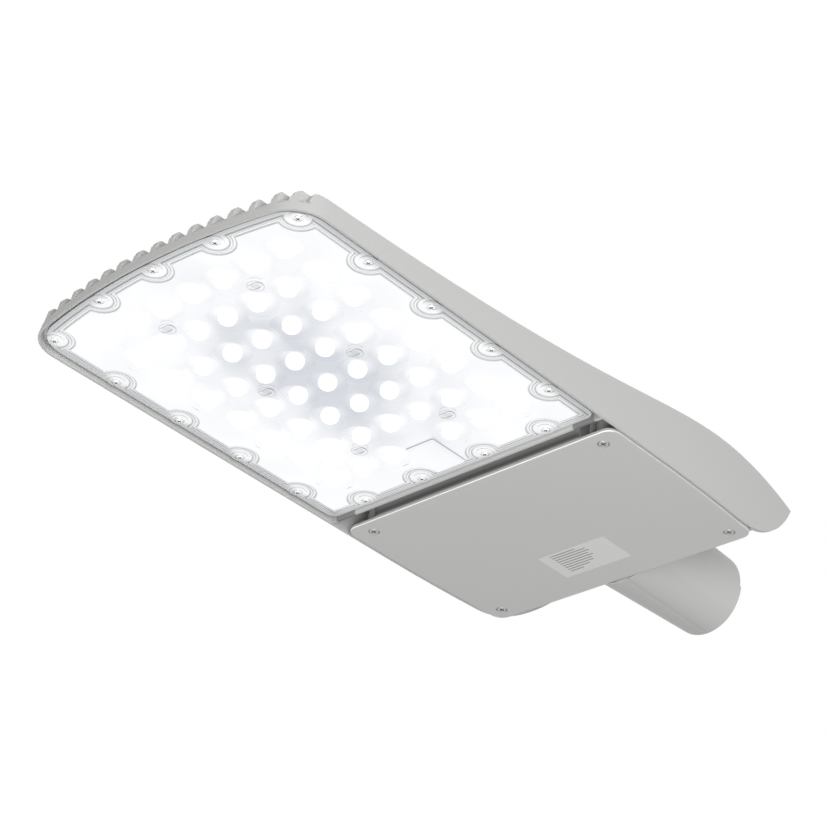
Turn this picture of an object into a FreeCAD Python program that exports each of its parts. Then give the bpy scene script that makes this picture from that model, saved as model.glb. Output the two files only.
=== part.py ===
import FreeCAD, Part
import math
import os

# LED street light head: one die-cast housing with lengthwise ribs between two side
# wings, a screwed lens plate over three LED boards, a driver compartment behind a flat
# cover, and a pole socket at the rear. Millimetres. The origin is the centre of the
# socket's mouth, +X runs forward along the pole axis, +Y is the head's left, +Z is up.
# Heights are measured from the lip, the lowest edge of the housing.

SIZES = [
    ("socket_bore", 62.0, "bore that slips over a 60 mm pole"),
    ("socket_depth", 121.0, "mouth to pole stop"),
    ("socket_drop", 39.5, "socket axis above the lip plane"),
    ("socket_mouth", 74.4, "outside of the tube at its mouth"),
    ("socket_flare", 85.8, "outside of the tube at the cover"),
    ("socket_flat", 40.0, "two flats under the tube reach this far to each side, degrees"),
    ("socket_bevel", 2.0, "bevel at the mouth"),
    ("fairing_length", 46.0, "cone that runs from the tube into the roof"),
    ("fairing_end", 52.0, "diameter of its front end"),
    ("cable_hole", 20.0, "cable hole in the pole stop"),
    ("cable_hole_drop", 19.0, "its centre below the socket axis"),
    ("set_screw_size", 8.0, "pole set screw thread"),
    ("set_screw_boss", 18.0, "boss round a set screw"),
    ("set_screw_boss_rise", 6.0, "boss above the tube's mouth"),
    ("set_screw_first", 29.0, "first set screw from the mouth"),
    ("set_screw_pitch", 52.0, "between the two set screws"),
    ("head_front", 679.2, "front edge of the lip"),
    ("half_width", 145.0, "half width at the lip"),
    ("wall_lean", 10.0, "side walls lean inward, degrees"),
    ("front_lean", 9.0, "front wall leans back, degrees"),
    ("front_radius", 640.0, "plan radius of the front"),
    ("corner_radius", 31.0, "plan radius of the front corners"),
    ("taper_start", 263.0, "sides start to narrow here"),
    ("taper_radius", 1700.0, "plan radius of the narrowing"),
    ("skirt", 2.0, "thickness of skirt and lip"),
    ("wing_wall", 4.0, "thickness of the side wings"),
    ("wing_front", 646.4, "front end of the wings' top edge"),
    ("wing_front_height", 20.7, "wing height at its front"),
    ("wing_nose_lean", 25.0, "the wings' front ends lean back, degrees"),
    ("wing_nose_round", 3.0, "round at the top of the front ends"),
    ("wing_rise", 9.0, "rise over the front handle of the wing curve"),
    ("wing_handle", 327.0, "front handle of the wing curve"),
    ("crest", 135.0, "highest point of the wings"),
    ("crest_height", 77.8, "height there"),
    ("crest_handle", 94.0, "rear handle of the wing curve"),
    ("tail_tip", 44.2, "rear tip of the wings"),
    ("tail_tip_height", 64.2, "height of the tip"),
    ("tail_run", 16.3, "upper handle of the tail's lower curve, along the head"),
    ("tail_fall", 20.7, "the same handle, down"),
    ("tail_bend", 96.8, "lower handle of the tail's lower curve"),
    ("tail_start", 147.8, "the tail's lower curve leaves the lip"),
    ("roof_height", 12.5, "roof over the boards"),
    ("roof_wall", 2.7, "its thickness"),
    ("roof_edge", 6.9, "round between front wall and roof"),
    ("ramp_lead", 15.0, "steep ramp ahead of the cross wall"),
    ("ramp_trail", 15.0, "steep ramp behind the cross wall"),
    ("ramp_height", 38.5, "height at its end"),
    ("hump", 183.0, "end of the gentle ramp"),
    ("hump_height", 62.5, "height there"),
    ("hood_rear", 55.0, "rear edge of the hood over the socket"),
    ("hood_height", 55.5, "height there"),
    ("hood_wall", 4.0, "thickness of compartment roof and hood"),
    ("rib_pitch", 18.5, "between ribs"),
    ("rib_pairs", 7, "ribs each side of the middle"),
    ("rib_width", 5.0, "thickness of a rib"),
    ("rib_drop", 1.0, "rib tops below the wing tops"),
    ("rib_round", 5.0, "round of the ribs' front ends"),
    ("rib_rear", 61.0, "rear end of the ribs"),
    ("edge_rib_inset", 12.4, "outermost rib from the lip"),
    ("stop_gap", 0.6, "pole stop to the cover's rear edge"),
    ("tray_rear_gap", 16.4, "rear wall to gear tray"),
    ("driver_inset", 16.0, "driver from the tray's rear edge"),
    ("driver_width", 67.0, "driver along the head"),
    ("gear_gap", 17.0, "driver to surge protector"),
    ("surge_width", 34.0, "surge protector along the head"),
    ("surge_inset", 22.0, "surge protector from the tray's front edge"),
    ("tray_front_gap", 12.6, "gear tray to the tub's front wall"),
    ("tub_wall", 5.0, "wall of the sealed tub under the cover, its rear wall too"),
    ("slot_width", 13.4, "vent slot between cover and lens bay"),
    ("slot_height", 18.5, "depth of that slot"),
    ("cross_wall", 2.4, "wall between the slot and the lens bay"),
    ("lens_seat_height", 6.7, "ledge that carries the lens gasket"),
    ("bay_side_inset", 34.0, "LED bay from the lip at the sides"),
    ("bay_front_inset", 35.2, "LED bay from the lip in front"),
    ("bay_rear_inset", 30.1, "LED bay from the cross wall"),
    ("bay_corner", 8.0, "LED bay corners"),
    ("lens_gap", 3.5, "lens plate to lip"),
    ("lens_rear_gap", 1.3, "lens plate to cross wall"),
    ("lens_front_corner", 30.0, "front corners of the lens plate"),
    ("lens_rear_corner", 9.0, "rear corners of the lens plate"),
    ("lens_flange_height", 2.8, "outer face of the lens flange"),
    ("lens_thickness", 2.4, "lens plate"),
    ("plateau_inset", 14.65, "raised middle from the lip"),
    ("plateau_rear_inset", 9.6, "raised middle from the cross wall"),
    ("plateau_rise", 0.8, "raised middle above the flange"),
    ("plateau_round", 2.5, "corners where the screw bays meet its edge"),
    ("screw_bay", 15.7, "radius kept clear round a lens screw"),
    ("ridge_offset", 2.6, "ridge along the raised middle, clear of its edge"),
    ("ridge_width", 1.8, "that ridge"),
    ("ridge_rise", 0.6, "that ridge above the flange"),
    ("ring_outside", 13.6, "raised ring round a lens screw"),
    ("ring_inside", 8.6, "its inside"),
    ("ring_rise", 0.6, "its height"),
    ("dome_radius", 9.2, "lens dome"),
    ("dome_rise", 4.5, "lens dome"),
    ("led_front_inset", 51.2, "first LED row from the lip"),
    ("led_row_pitch", 35.5, "between LED rows"),
    ("led_rear_margin", 36.0, "cross wall to the last LED row, at least"),
    ("led_column_pitch", 31.36, "between LED columns"),
    ("led_side_margin", 20.0, "plateau edge to the outer domes, at least"),
    ("led_package", 5.0, "side of an LED package"),
    ("led_rise", 1.4, "height of an LED package"),
    ("lug_front_inset", 69.7, "first pair of board screws from the lip"),
    ("lug_rear_inset", 68.1, "last pair of board screws from the cross wall"),
    ("lug_pairs", 3, "pairs of board screws, one pair a board"),
    ("lug_half_span", 46.5, "board screws from the middle"),
    ("lug_length", 13.0, "pill-shaped frames over the board screws"),
    ("lug_width", 7.5, "their width"),
    ("lug_rim", 1.2, "their rim"),
    ("lug_rise", 0.7, "their height"),
    ("plug_box_reach", 2.5, "connector box past the last LED row"),
    ("plug_box_half_width", 15.0, "connector box"),
    ("plug_box_rise", 3.0, "connector box"),
    ("plug_box_draft", 1.6, "bevel round the connector box"),
    ("board_thickness", 1.6, "LED boards"),
    ("board_side_gap", 7.0, "LED boards to the side of the bay"),
    ("board_margin", 10.0, "board beyond its outer rows"),
    ("board_screw_grip", 1.6, "board screws in the roof"),
    ("board_gap", 1.0, "between boards"),
    ("lens_screw_inset", 12.05, "lens screws from the lip"),
    ("lens_screw_front_inset", 96.2, "front pair of side screws from the lip's front"),
    ("lens_screw_pitch", 66.8, "between side screws"),
    ("lens_screw_nose_side", 61.2, "front screws from the middle"),
    ("lens_screw_rear_inset", 8.3, "rear row from the cross wall"),
    ("lens_screw_rear_inner", 33.4, "rear row from the middle"),
    ("lens_screw_rear_outer", 49.6, "rear row from the lip"),
    ("lens_screw_size", 3.0, "lens screw thread"),
    ("lens_screw_head", 5.7, "lens screw head"),
    ("lens_screw_head_rise", 2.0, "lens screw head height"),
    ("lens_screw_length", 7.0, "lens screw below the head"),
    ("hole_play", 0.4, "clearance of a screw hole, on diameter and depth"),
    ("gasket_width", 5.0, "lens gasket"),
    ("gasket_inset", 15.45, "outer edge of the lens gasket from the lip"),
    ("gasket_rear_inset", 13.0, "the same from the cross wall"),
    ("gasket_bay", 14.5, "gasket edge round a lens screw"),
    ("cover_gap", 1.0, "cover edge to skirt"),
    ("cover_drop", 1.0, "outer face of the cover below the lip"),
    ("cover_thickness", 3.0, "driver cover"),
    ("cover_corner", 11.5, "cover corners"),
    ("cover_edge", 1.2, "round of the cover's outer edge"),
    ("cover_screw_end", 14.6, "cover screws from the cover's ends"),
    ("cover_screw_inset", 23.2, "cover screws from the lip"),
    ("cover_screw_size", 5.0, "cover screw thread"),
    ("cover_screw_head", 8.4, "cover screw head"),
    ("cover_screw_length", 14.0, "cover screw below the head"),
    ("cover_cup", 10.3, "cup pressed in the cover"),
    ("cover_cup_depth", 1.8, "depth of the cup"),
    ("boss_width", 12.0, "cover screw boss"),
    ("tub_screw_gap", 7.8, "cover screws to the outside of the tub"),
    ("tub_corner", 10.0, "tub corners"),
    ("tub_play", 0.3, "tub wall to cover"),
    ("seal_width", 2.4, "cover gasket in its groove"),
    ("seal_height", 2.4, "cover gasket"),
    ("tray_height", 34.5, "lower face of the gear tray"),
    ("tray_thickness", 2.0, "gear tray"),
    ("tray_side_gap", 11.0, "gear tray to the tub's side wall"),
    ("tray_screw_inset", 8.0, "tray screws from its edges"),
    ("tray_screw_size", 4.0, "tray screw thread"),
    ("tray_screw_head", 7.6, "tray screw head"),
    ("tray_screw_head_rise", 2.4, "tray screw head height"),
    ("tray_screw_length", 10.0, "tray screw below the head"),
    ("driver_end_gap", 9.0, "driver's ears to the tray's side edges"),
    ("driver_depth", 29.0, "driver"),
    ("block_inset", 30.0, "terminal block from the tray's front edge"),
    ("block_width", 22.0, "terminal block along the head"),
    ("block_length", 48.0, "terminal block across the head"),
    ("block_depth", 18.0, "terminal block"),
    ("block_end_gap", 13.0, "terminal block's ear to the tray's right edge"),
    ("surge_length", 52.0, "surge protector across the head"),
    ("surge_depth", 24.0, "surge protector"),
    ("surge_end_gap", 11.0, "surge protector's ear to the tray's left edge"),
    ("small_screw_size", 3.0, "screws of driver, block and protector"),
    ("small_screw_head", 5.6, "their heads"),
    ("small_screw_head_rise", 1.8, "height of their heads"),
    ("board_screw_head_rise", 1.4, "height of the board screws' heads"),
    ("ear_length", 9.0, "fixing ears of driver, block and protector"),
    ("ear_thickness", 2.0, "their thickness"),
    ("grommet_flange", 26.0, "cable grommet"),
    ("grommet_flange_width", 2.5, "flange of the grommet"),
    ("grommet_hole", 11.0, "grommet hole for the supply cable"),
    ("plug_length", 8.5, "board connector along the head"),
    ("plug_inset", 0.5, "board connector from the board's rear edge"),
    ("plug_half_width", 10.0, "board connector"),
    ("plug_depth", 5.5, "board connector"),
    ("vent_side", 70.0, "breather vent from the middle"),
    ("vent_thread", 12.0, "breather vent thread"),
    ("vent_drop", 19.0, "breather vent below the socket axis"),
    ("vent_head", 18.0, "cap and nut of the vent"),
    ("vent_cap", 5.0, "cap of the vent"),
    ("vent_nut", 4.0, "nut of the vent"),
    ("thread_play", 0.1, "thread drawn this much under its hole, on diameter"),
]

# Places that follow from the sizes, as expressions of the sheet's cells
PLACES = {
    "cover_rear": "Sizes.socket_depth + Sizes.stop_gap",
    "room_rear": "{cover_rear} + Sizes.tub_wall",
    "tray_rear": "{room_rear} + Sizes.tray_rear_gap",
    "driver_rear": "{tray_rear} + Sizes.driver_inset",
    "surge_rear": "{driver_rear} + Sizes.driver_width + Sizes.gear_gap",
    "tray_front": "{surge_rear} + Sizes.surge_width + Sizes.surge_inset",
    "cover_front": "{tray_front} + Sizes.tray_front_gap + Sizes.tub_wall",
    "slot_front": "{cover_front} + Sizes.slot_width",
    "lens_rear": "{slot_front} + Sizes.cross_wall",
    "block_rear": "{tray_front} - Sizes.block_inset - Sizes.block_width",
    "tub_side": "Sizes.half_width - Sizes.cover_screw_inset - Sizes.tub_screw_gap",
    "tray_side": "{tub_side} - Sizes.tub_wall - Sizes.tray_side_gap",
    "driver_reach": "{tray_side} - Sizes.driver_end_gap - Sizes.ear_length",
    "surge_middle": "{tray_side} - Sizes.surge_end_gap - Sizes.ear_length - Sizes.surge_length / 2",
    "block_middle": "Sizes.block_end_gap + Sizes.ear_length + Sizes.block_length / 2 - {tray_side}",
    "tray_level": "Sizes.tray_height - Sizes.socket_drop",
    "board_floor": "Sizes.roof_height - Sizes.roof_wall",
    "board_face": "{board_floor} - Sizes.board_thickness",
    "cover_inner": "Sizes.cover_thickness - Sizes.cover_drop",
}

document = FreeCAD.newDocument("StreetLightHead")
sheet = document.addObject("Spreadsheet::Sheet", "Sizes")
for row, (alias, value, note) in enumerate(SIZES, start=1):
    sheet.set("A%d" % row, alias)
    sheet.set("B%d" % row, str(value))
    sheet.set("C%d" % row, note)
    sheet.setAlias("B%d" % row, alias)
document.recompute()


def size(alias):
    return float(sheet.get(alias))


def expression(name):
    """A named place written out in the sheet's cells, in brackets."""
    text = PLACES[name]
    while "{" in text:
        inner = text[text.index("{") + 1:text.index("}")]
        text = text.replace("{%s}" % inner, expression(inner))
    return "(%s)" % text


def place(name):
    return float(sheet.evalExpression(expression(name)))


def level(height):
    """Z of a height above the lip plane."""
    return height - size("socket_drop")


def tangent(alias):
    return math.tan(math.radians(size(alias)))


def vec(x, y, z=0.0):
    return FreeCAD.Vector(x, y, z)


def feature(label, shape):
    """A sub-part whose shape comes from Part's own functions."""
    piece = document.addObject("Part::Feature", label)
    piece.Label = label
    piece.Shape = shape
    return piece


# Plan outlines

def side_half_width(x, inset, height):
    """Half width of the head's outline at x: straight, then narrowing in a long arc."""
    past = max(0.0, size("taper_start") - x)
    narrowing = size("taper_radius") - math.sqrt(size("taper_radius") ** 2 - past ** 2)
    return size("half_width") - inset - height * tangent("wall_lean") - narrowing


def front_geometry(inset, height, corner):
    """Centre of the front arc, its radius, and the corner's centre."""
    radius = size("front_radius") - inset
    centre = size("head_front") - size("front_radius") - height * tangent("front_lean")
    corner_y = side_half_width(size("head_front"), inset, height) - corner
    corner_x = centre + math.sqrt((radius - corner) ** 2 - corner_y ** 2)
    return centre, radius, corner_x, corner_y


def front_edge(y, inset, height):
    """X of the head's front at a given y."""
    corner = size("corner_radius") - inset
    centre, radius, corner_x, corner_y = front_geometry(inset, height, corner)
    reach = corner_y * radius / (radius - corner)
    if abs(y) <= reach:
        return centre + math.sqrt(radius ** 2 - y ** 2)
    return corner_x + math.sqrt(max(corner ** 2 - (abs(y) - corner_y) ** 2, 0.0))


def mirrored(points):
    return [vec(p.x, -p.y, p.z) for p in points]


def side_edges(front, rear, inset, height):
    """Left edge of the outline between two places: a line, then the arc where it narrows."""
    z = level(height)
    taper = size("taper_start")
    start = vec(front, side_half_width(front, inset, height), z)
    end = vec(rear, side_half_width(rear, inset, height), z)
    if rear >= taper:
        return [Part.LineSegment(start, end).toShape()], end
    turn = vec(taper, start.y, z)
    middle = (taper + rear) / 2
    bow = vec(middle, side_half_width(middle, inset, height), z)
    return [Part.LineSegment(start, turn).toShape(), Part.Arc(turn, bow, end).toShape()], end


def head_wire(inset, height, rear, corner=None):
    """Closed outline of the head, inset from the lip, at a height, ending flat at rear."""
    z = level(height)
    corner = corner or max(size("corner_radius") - inset, size("plateau_round"))
    centre, radius, corner_x, corner_y = front_geometry(inset, height, corner)
    lean = math.atan2(corner_y, corner_x - centre)
    nose = vec(centre + radius, 0, z)
    front_end = vec(centre + radius * math.cos(lean), radius * math.sin(lean), z)
    bisector = (lean + math.pi / 2) / 2
    corner_mid = vec(corner_x + corner * math.cos(bisector), corner_y + corner * math.sin(bisector), z)
    side_start = vec(corner_x, corner_y + corner, z)
    left, end = side_edges(side_start.x, rear, inset, height)
    right = mirrored([front_end, corner_mid, side_start])
    front = [
        Part.Arc(right[0], nose, front_end).toShape(),
        Part.Arc(front_end, corner_mid, side_start).toShape(),
    ]
    back = [Part.LineSegment(end, vec(end.x, -end.y, z)).toShape()]
    other_side = [e.mirror(vec(0, 0, 0), vec(0, 1, 0)) for e in left[::-1]]
    return Part.Wire(front + left + back + other_side + [Part.Arc(right[2], right[1], right[0]).toShape()])


def leaning_block(inset, low, high, rear):
    """Solid between two outlines, with the walls' lean."""
    return Part.makeLoft([head_wire(inset, low, rear), head_wire(inset, high, rear)], True, True)


def upright_edges(shape, x_low=-math.inf, x_high=math.inf):
    """Vertical edges of a shape between two X places."""
    return [e for e in shape.Edges if len(e.Vertexes) == 2 and abs(e.Vertexes[0].Z - e.Vertexes[1].Z) > 0.1
            and x_low <= e.CenterOfMass.x <= x_high]


def rounded_block(x_low, x_high, half, radius, low, high):
    """Box centred on the XZ plane with rounded vertical edges, heights above the lip."""
    box = Part.makeBox(x_high - x_low, 2 * half, high - low, vec(x_low, -half, level(low)))
    return box.makeFillet(radius, upright_edges(box))


def side_prism(edges, half):
    """Profile drawn in the XZ plane, pushed out to both sides."""
    face = Part.Face(Part.Wire(edges))
    face.translate(vec(0, -half, 0))
    return face.extrude(vec(0, 2 * half, 0))


def poly_edges(points):
    return [Part.LineSegment(a, b).toShape() for a, b in zip(points, points[1:])]


def at(x, height):
    """Point in the XZ plane, its height above the lip."""
    return vec(x, 0, level(height))


def bezier(points):
    curve = Part.BezierCurve()
    curve.setPoles(points)
    return curve


def upright(x, y, diameter, low, high):
    """Vertical cylinder between two heights above the lip."""
    return Part.makeCylinder(diameter / 2, high - low, vec(x, y, level(low)))


def lengthwise(diameter, start, end, y, z):
    """Cylinder along the head between two X places."""
    return Part.makeCylinder(diameter / 2, end - start, vec(start, y, z), vec(1, 0, 0))


# Long profiles

def wing_curve(drop):
    """Top edge of the wings lowered by drop: a long S up to the crest, an arc to the tip."""
    start = at(size("wing_front"), size("wing_front_height") - drop)
    crest = at(size("crest"), size("crest_height") - drop)
    rising = bezier([
        start,
        start + vec(-size("wing_handle"), 0, size("wing_rise")),
        crest + vec(size("crest_handle"), 0, 0),
        crest,
    ])
    run = size("crest") - size("tail_tip")
    fall = size("crest_height") - size("tail_tip_height")
    radius = (run ** 2 + fall ** 2) / (2 * fall)
    half_turn = math.asin(run / radius) / 2
    middle = crest + vec(-radius * math.sin(half_turn), 0, -radius * (1 - math.cos(half_turn)))
    tip = crest + vec(-run, 0, -fall)
    return rising, Part.Arc(crest, middle, tip).toShape(), start, tip


reach = 40.0  # cutting shapes reach this far past the head
width = 4 * size("half_width")
top = size("crest_height") + reach
tail_cut = size("tail_tip") - reach / 2


def side_profile():
    """The head seen from the side: lip, tail, wing top and the wings' front ends."""
    rising, falling, start, tip = wing_curve(0)
    tail = bezier([
        tip,
        tip + vec(size("tail_run"), 0, -size("tail_fall")),
        at(size("tail_bend"), 0),
        at(size("tail_start"), 0),
    ])
    fall = size("wing_front_height") - size("roof_height")
    foot = at(size("wing_front") + fall * tangent("wing_nose_lean"), size("roof_height"))
    nose_line = (start - foot).normalize()
    nose_end = start - nose_line * size("wing_nose_round")
    cut = size("wing_nose_round") / (3 * size("wing_handle"))
    rising.segment(cut, 1)
    nose_round = bezier([nose_end, start, rising.StartPoint])
    edges = [rising.toShape(), falling, tail.toShape()]
    front = size("head_front") + reach
    edges += poly_edges([at(size("tail_start"), 0), at(front, 0), at(front, size("roof_height")), foot, nose_end])
    return edges + [nose_round.toShape()]


def roof_points(drop):
    """Upper face of the roof between the wings, lowered by drop, front to rear."""
    return [
        at(size("head_front") + reach, size("roof_height") - drop),
        at(place("lens_rear") + size("ramp_lead"), size("roof_height") - drop),
        at(place("slot_front") - size("ramp_trail"), size("ramp_height") - drop),
        at(size("hump"), size("hump_height") - drop),
        at(size("socket_depth"), size("hump_height") - drop),
        at(size("hood_rear"), size("hood_height") - drop),
    ]


def above_roof():
    """Space over the roof, between the wings."""
    points = roof_points(0)
    behind = tail_cut - reach
    points += [at(size("hood_rear"), 0), at(behind, 0), at(behind, top), at(size("head_front") + reach, top)]
    return side_prism(poly_edges(points + points[:1]), width / 2)


def cover_space():
    """Space under the compartment roof and behind the lens bay, open below."""
    front = place("slot_front")
    under = size("hood_wall")
    slot_rear = place("cover_front") - size("tub_wall") / 2
    roof = roof_points(under)
    lead, trail = roof[1], roof[2]
    ramp = trail.z + (slot_rear - trail.x) * (lead.z - trail.z) / (lead.x - trail.x)
    points = [
        at(front, -reach),
        at(front, size("slot_height")),
        at(slot_rear, size("slot_height")),
        vec(slot_rear, 0, min(trail.z, ramp)),
        roof[3],
        at(place("room_rear"), size("hump_height") - under),
        at(place("room_rear"), -reach),
    ]
    return side_prism(poly_edges(points + points[:1]), width / 2)


def hood_space():
    """Space between the tails of the wings, under the hood."""
    under = size("hood_wall")
    rear = place("cover_rear")
    behind = tail_cut - reach
    points = [at(rear, -reach), at(rear, size("hump_height") - under)]
    points += roof_points(under)[4:] + [at(behind, size("hood_height") - under), at(behind, -reach)]
    return side_prism(poly_edges(points + points[:1]), width / 2)


def front_edge_waste():
    """What the round between the front wall and the roof takes away, ahead of the wings."""
    low = size("roof_height") - size("roof_edge") - 1.0
    block = leaning_block(0, low, size("roof_height"), size("hump"))
    z = level(size("roof_height"))
    edges = [e for e in block.Edges if abs(e.BoundBox.ZMin - z) < 0.01 and abs(e.BoundBox.ZMax - z) < 0.01
             and e.BoundBox.XMin > size("wing_front") - size("corner_radius") and e.Curve.TypeId == "Part::GeomCircle"]
    rounded = block.makeFillet(size("roof_edge"), edges)
    foot = size("wing_front") + (size("wing_front_height") - size("roof_height")) * tangent("wing_nose_lean")
    ahead = Part.makeBox(reach * 2, width, reach, vec(foot, -width / 2, level(low)))
    return block.cut(rounded).common(ahead)


# Where things stand

def rib_places():
    steps = [size("rib_pitch") * (k + 0.5) for k in range(int(size("rib_pairs")))]
    steps.append(size("half_width") - size("edge_rib_inset"))
    return sorted([-y for y in steps] + steps)


def lens_screw_places():
    """Lens screws: a row along each side, one in each corner, three in front, four behind."""
    inset = size("lens_screw_inset")
    corner = size("corner_radius") - inset
    centre, radius, corner_x, corner_y = front_geometry(inset, 0, corner)
    turn = math.atan2(corner_y, corner_x - centre) / 2 + math.pi / 4
    rear = place("lens_rear") + size("lens_screw_rear_inset")
    front = size("head_front") - size("lens_screw_front_inset")
    pitch = size("lens_screw_pitch")
    count = int((front - rear) / pitch - 0.4) + 1
    nose_side = size("lens_screw_nose_side")
    half = [(front - k * pitch, corner_y + corner) for k in range(count)]
    half.append((corner_x + corner * math.cos(turn), corner_y + corner * math.sin(turn)))
    half.append((front_edge(nose_side, inset, 0), nose_side))
    half.append((rear, size("lens_screw_rear_inner")))
    half.append((rear, size("half_width") - size("lens_screw_rear_outer")))
    return half + [(x, -y) for x, y in half] + [(front_edge(0, inset, 0), 0.0)]


def cover_screw_places():
    end = size("cover_screw_end")
    side = size("half_width") - size("cover_screw_inset")
    return [(x, y) for x in (place("cover_front") - end, place("cover_rear") + end) for y in (side, -side)]


def tray_screw_places():
    inset = size("tray_screw_inset")
    side = place("tray_side") - inset
    return [(x, y) for x in (place("tray_front") - inset, place("tray_rear") + inset) for y in (side, -side)]


def lug_lines():
    """X of each pair of board screws, evenly between the first and the last."""
    first = size("head_front") - size("lug_front_inset")
    last = place("lens_rear") + size("lug_rear_inset")
    count = int(size("lug_pairs"))
    return [first + (last - first) * k / (count - 1) for k in range(count)]


def lug_places():
    return [(x, y) for x in lug_lines() for y in (size("lug_half_span"), -size("lug_half_span"))]


def led_rows():
    """X of the LED rows, as many as fit behind the first."""
    first = size("head_front") - size("led_front_inset")
    room = first - place("lens_rear") - size("led_rear_margin")
    return [first - k * size("led_row_pitch") for k in range(int(room / size("led_row_pitch")) + 1)]


def led_places():
    """All LEDs; the middle of the last row gives way to the connector."""
    half = size("half_width") - size("plateau_inset") - size("dome_radius") - size("led_side_margin")
    side = int(half / size("led_column_pitch"))
    rows = led_rows()
    places = [(x, k * size("led_column_pitch")) for x in rows for k in range(-side, side + 1)]
    places.remove((rows[-1], 0.0))
    return places


def set_screw_places():
    return [size("set_screw_first"), size("set_screw_first") + size("set_screw_pitch")]


# Housing

def socket_section(x, diameter):
    """Outline of the tube: round, with two flats that meet in the mould line underneath."""
    radius = diameter / 2
    turn = math.radians(size("socket_flat"))
    side = vec(x, radius * math.sin(turn), -radius * math.cos(turn))
    other = vec(x, -side.y, side.z)
    bottom = vec(x, 0, -radius)
    return Part.Wire([
        Part.LineSegment(bottom, side).toShape(),
        Part.Arc(side, vec(x, 0, radius), other).toShape(),
        Part.LineSegment(other, bottom).toShape(),
    ])


def socket_outside():
    mouth, flare, bevel = size("socket_mouth"), size("socket_flare"), size("socket_bevel")
    end = place("room_rear")
    grown = mouth + (flare - mouth) * end / place("cover_rear")
    sections = [(0, mouth - 2 * bevel), (bevel, mouth), (end, grown)]
    wires = [socket_section(x, diameter) for x, diameter in sections]
    height = mouth / 2 + size("set_screw_boss_rise")
    bosses = [Part.makeCylinder(size("set_screw_boss") / 2, height, vec(x, 0, 0)) for x in set_screw_places()]
    fairing = Part.makeCone(flare / 2, size("fairing_end") / 2, size("fairing_length"),
                            vec(place("cover_rear"), 0, 0), vec(1, 0, 0))
    inner = Part.makeBox(size("fairing_length"), flare, flare,
                         vec(place("room_rear"), -flare / 2, level(size("hump_height") - size("hood_wall"))))
    return Part.makeLoft(wires, True, True).multiFuse(bosses + [fairing.common(inner)])


def rib(y):
    """One lengthwise rib: it stands on the roof, its round front end on the front wall."""
    rising, falling, start, tip = wing_curve(size("rib_drop"))
    radius = size("rib_round")
    inner_side = max(abs(y) - size("rib_width") / 2, 0.0)
    foot_height = size("roof_height") - size("roof_edge")
    front_top = front_edge(inner_side, 0, size("wing_front_height"))
    nose = [
        vec(front_top - radius, 0, start.z),
        vec(front_top - radius * (1 - math.sin(math.pi / 4)), 0, start.z - radius * (1 - math.cos(math.pi / 4))),
        vec(front_top, 0, start.z - radius),
    ]
    under = roof_points(size("roof_wall") / 2)[1:]
    under[-1] = under[-1] + vec(size("tail_tip") - size("hood_rear"), 0, 0)
    front_foot = at(front_top + reach / 4, foot_height)
    path = [nose[2], front_foot, at(front_top - size("bay_front_inset") / 2, foot_height)]
    path += [at(front_top - size("bay_front_inset") / 2, size("roof_height") - size("roof_wall") / 2)]
    edges = [rising.toShape(), falling] + poly_edges(path + under + [tip])
    edges += [Part.Arc(nose[0], nose[1], nose[2]).toShape()] + poly_edges([start, nose[0]])
    section = Part.Face(Part.Wire(Part.__sortEdges__(edges)))
    section.translate(vec(0, y - size("rib_width") / 2, 0))
    return section.extrude(vec(0, size("rib_width"), 0))


def tub_ring(inset, thickness, low, high):
    """Ring that follows the tub's wall, inset from its outside."""
    rear, front, side = place("cover_rear") + inset, place("cover_front") - inset, place("tub_side") - inset
    corner = size("tub_corner")
    outer = rounded_block(rear, front, side, corner - inset, low, high)
    inner = rounded_block(rear + thickness, front - thickness, side - thickness, corner - inset - thickness,
                          low - 1.0, high + 1.0)
    return outer.cut(inner)


def seal_ring(high):
    """The cover gasket's space: in the middle of the tub's wall, up to a height."""
    inset = (size("tub_wall") - size("seal_width")) / 2
    return tub_ring(inset, size("seal_width"), place("cover_inner"), high)


def screw_holes():
    """Blind holes for the screws that hold lens plate, boards, cover and tray."""
    play = size("hole_play")
    under_lens = size("lens_flange_height") + size("lens_thickness")
    lens_top = size("lens_flange_height") + size("lens_screw_length") + play
    floor = place("board_floor")
    tray_top = size("tray_height") + size("tray_thickness")
    tray_end = size("tray_height") + size("tray_screw_length") + play
    cup_floor = size("cover_cup_depth") - size("cover_drop")
    cover_end = cup_floor + size("cover_screw_length") + play
    holes = [upright(x, y, size("lens_screw_size"), under_lens, lens_top) for x, y in lens_screw_places()]
    holes += [upright(x, y, size("lens_screw_size"), floor - 1.0, floor + size("board_screw_grip"))
              for x, y in lug_places()]
    holes += [upright(x, y, size("cover_screw_size"), cup_floor, cover_end) for x, y in cover_screw_places()]
    holes += [upright(x, y, size("tray_screw_size"), tray_top - 1.0, tray_end) for x, y in tray_screw_places()]
    return holes


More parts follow.
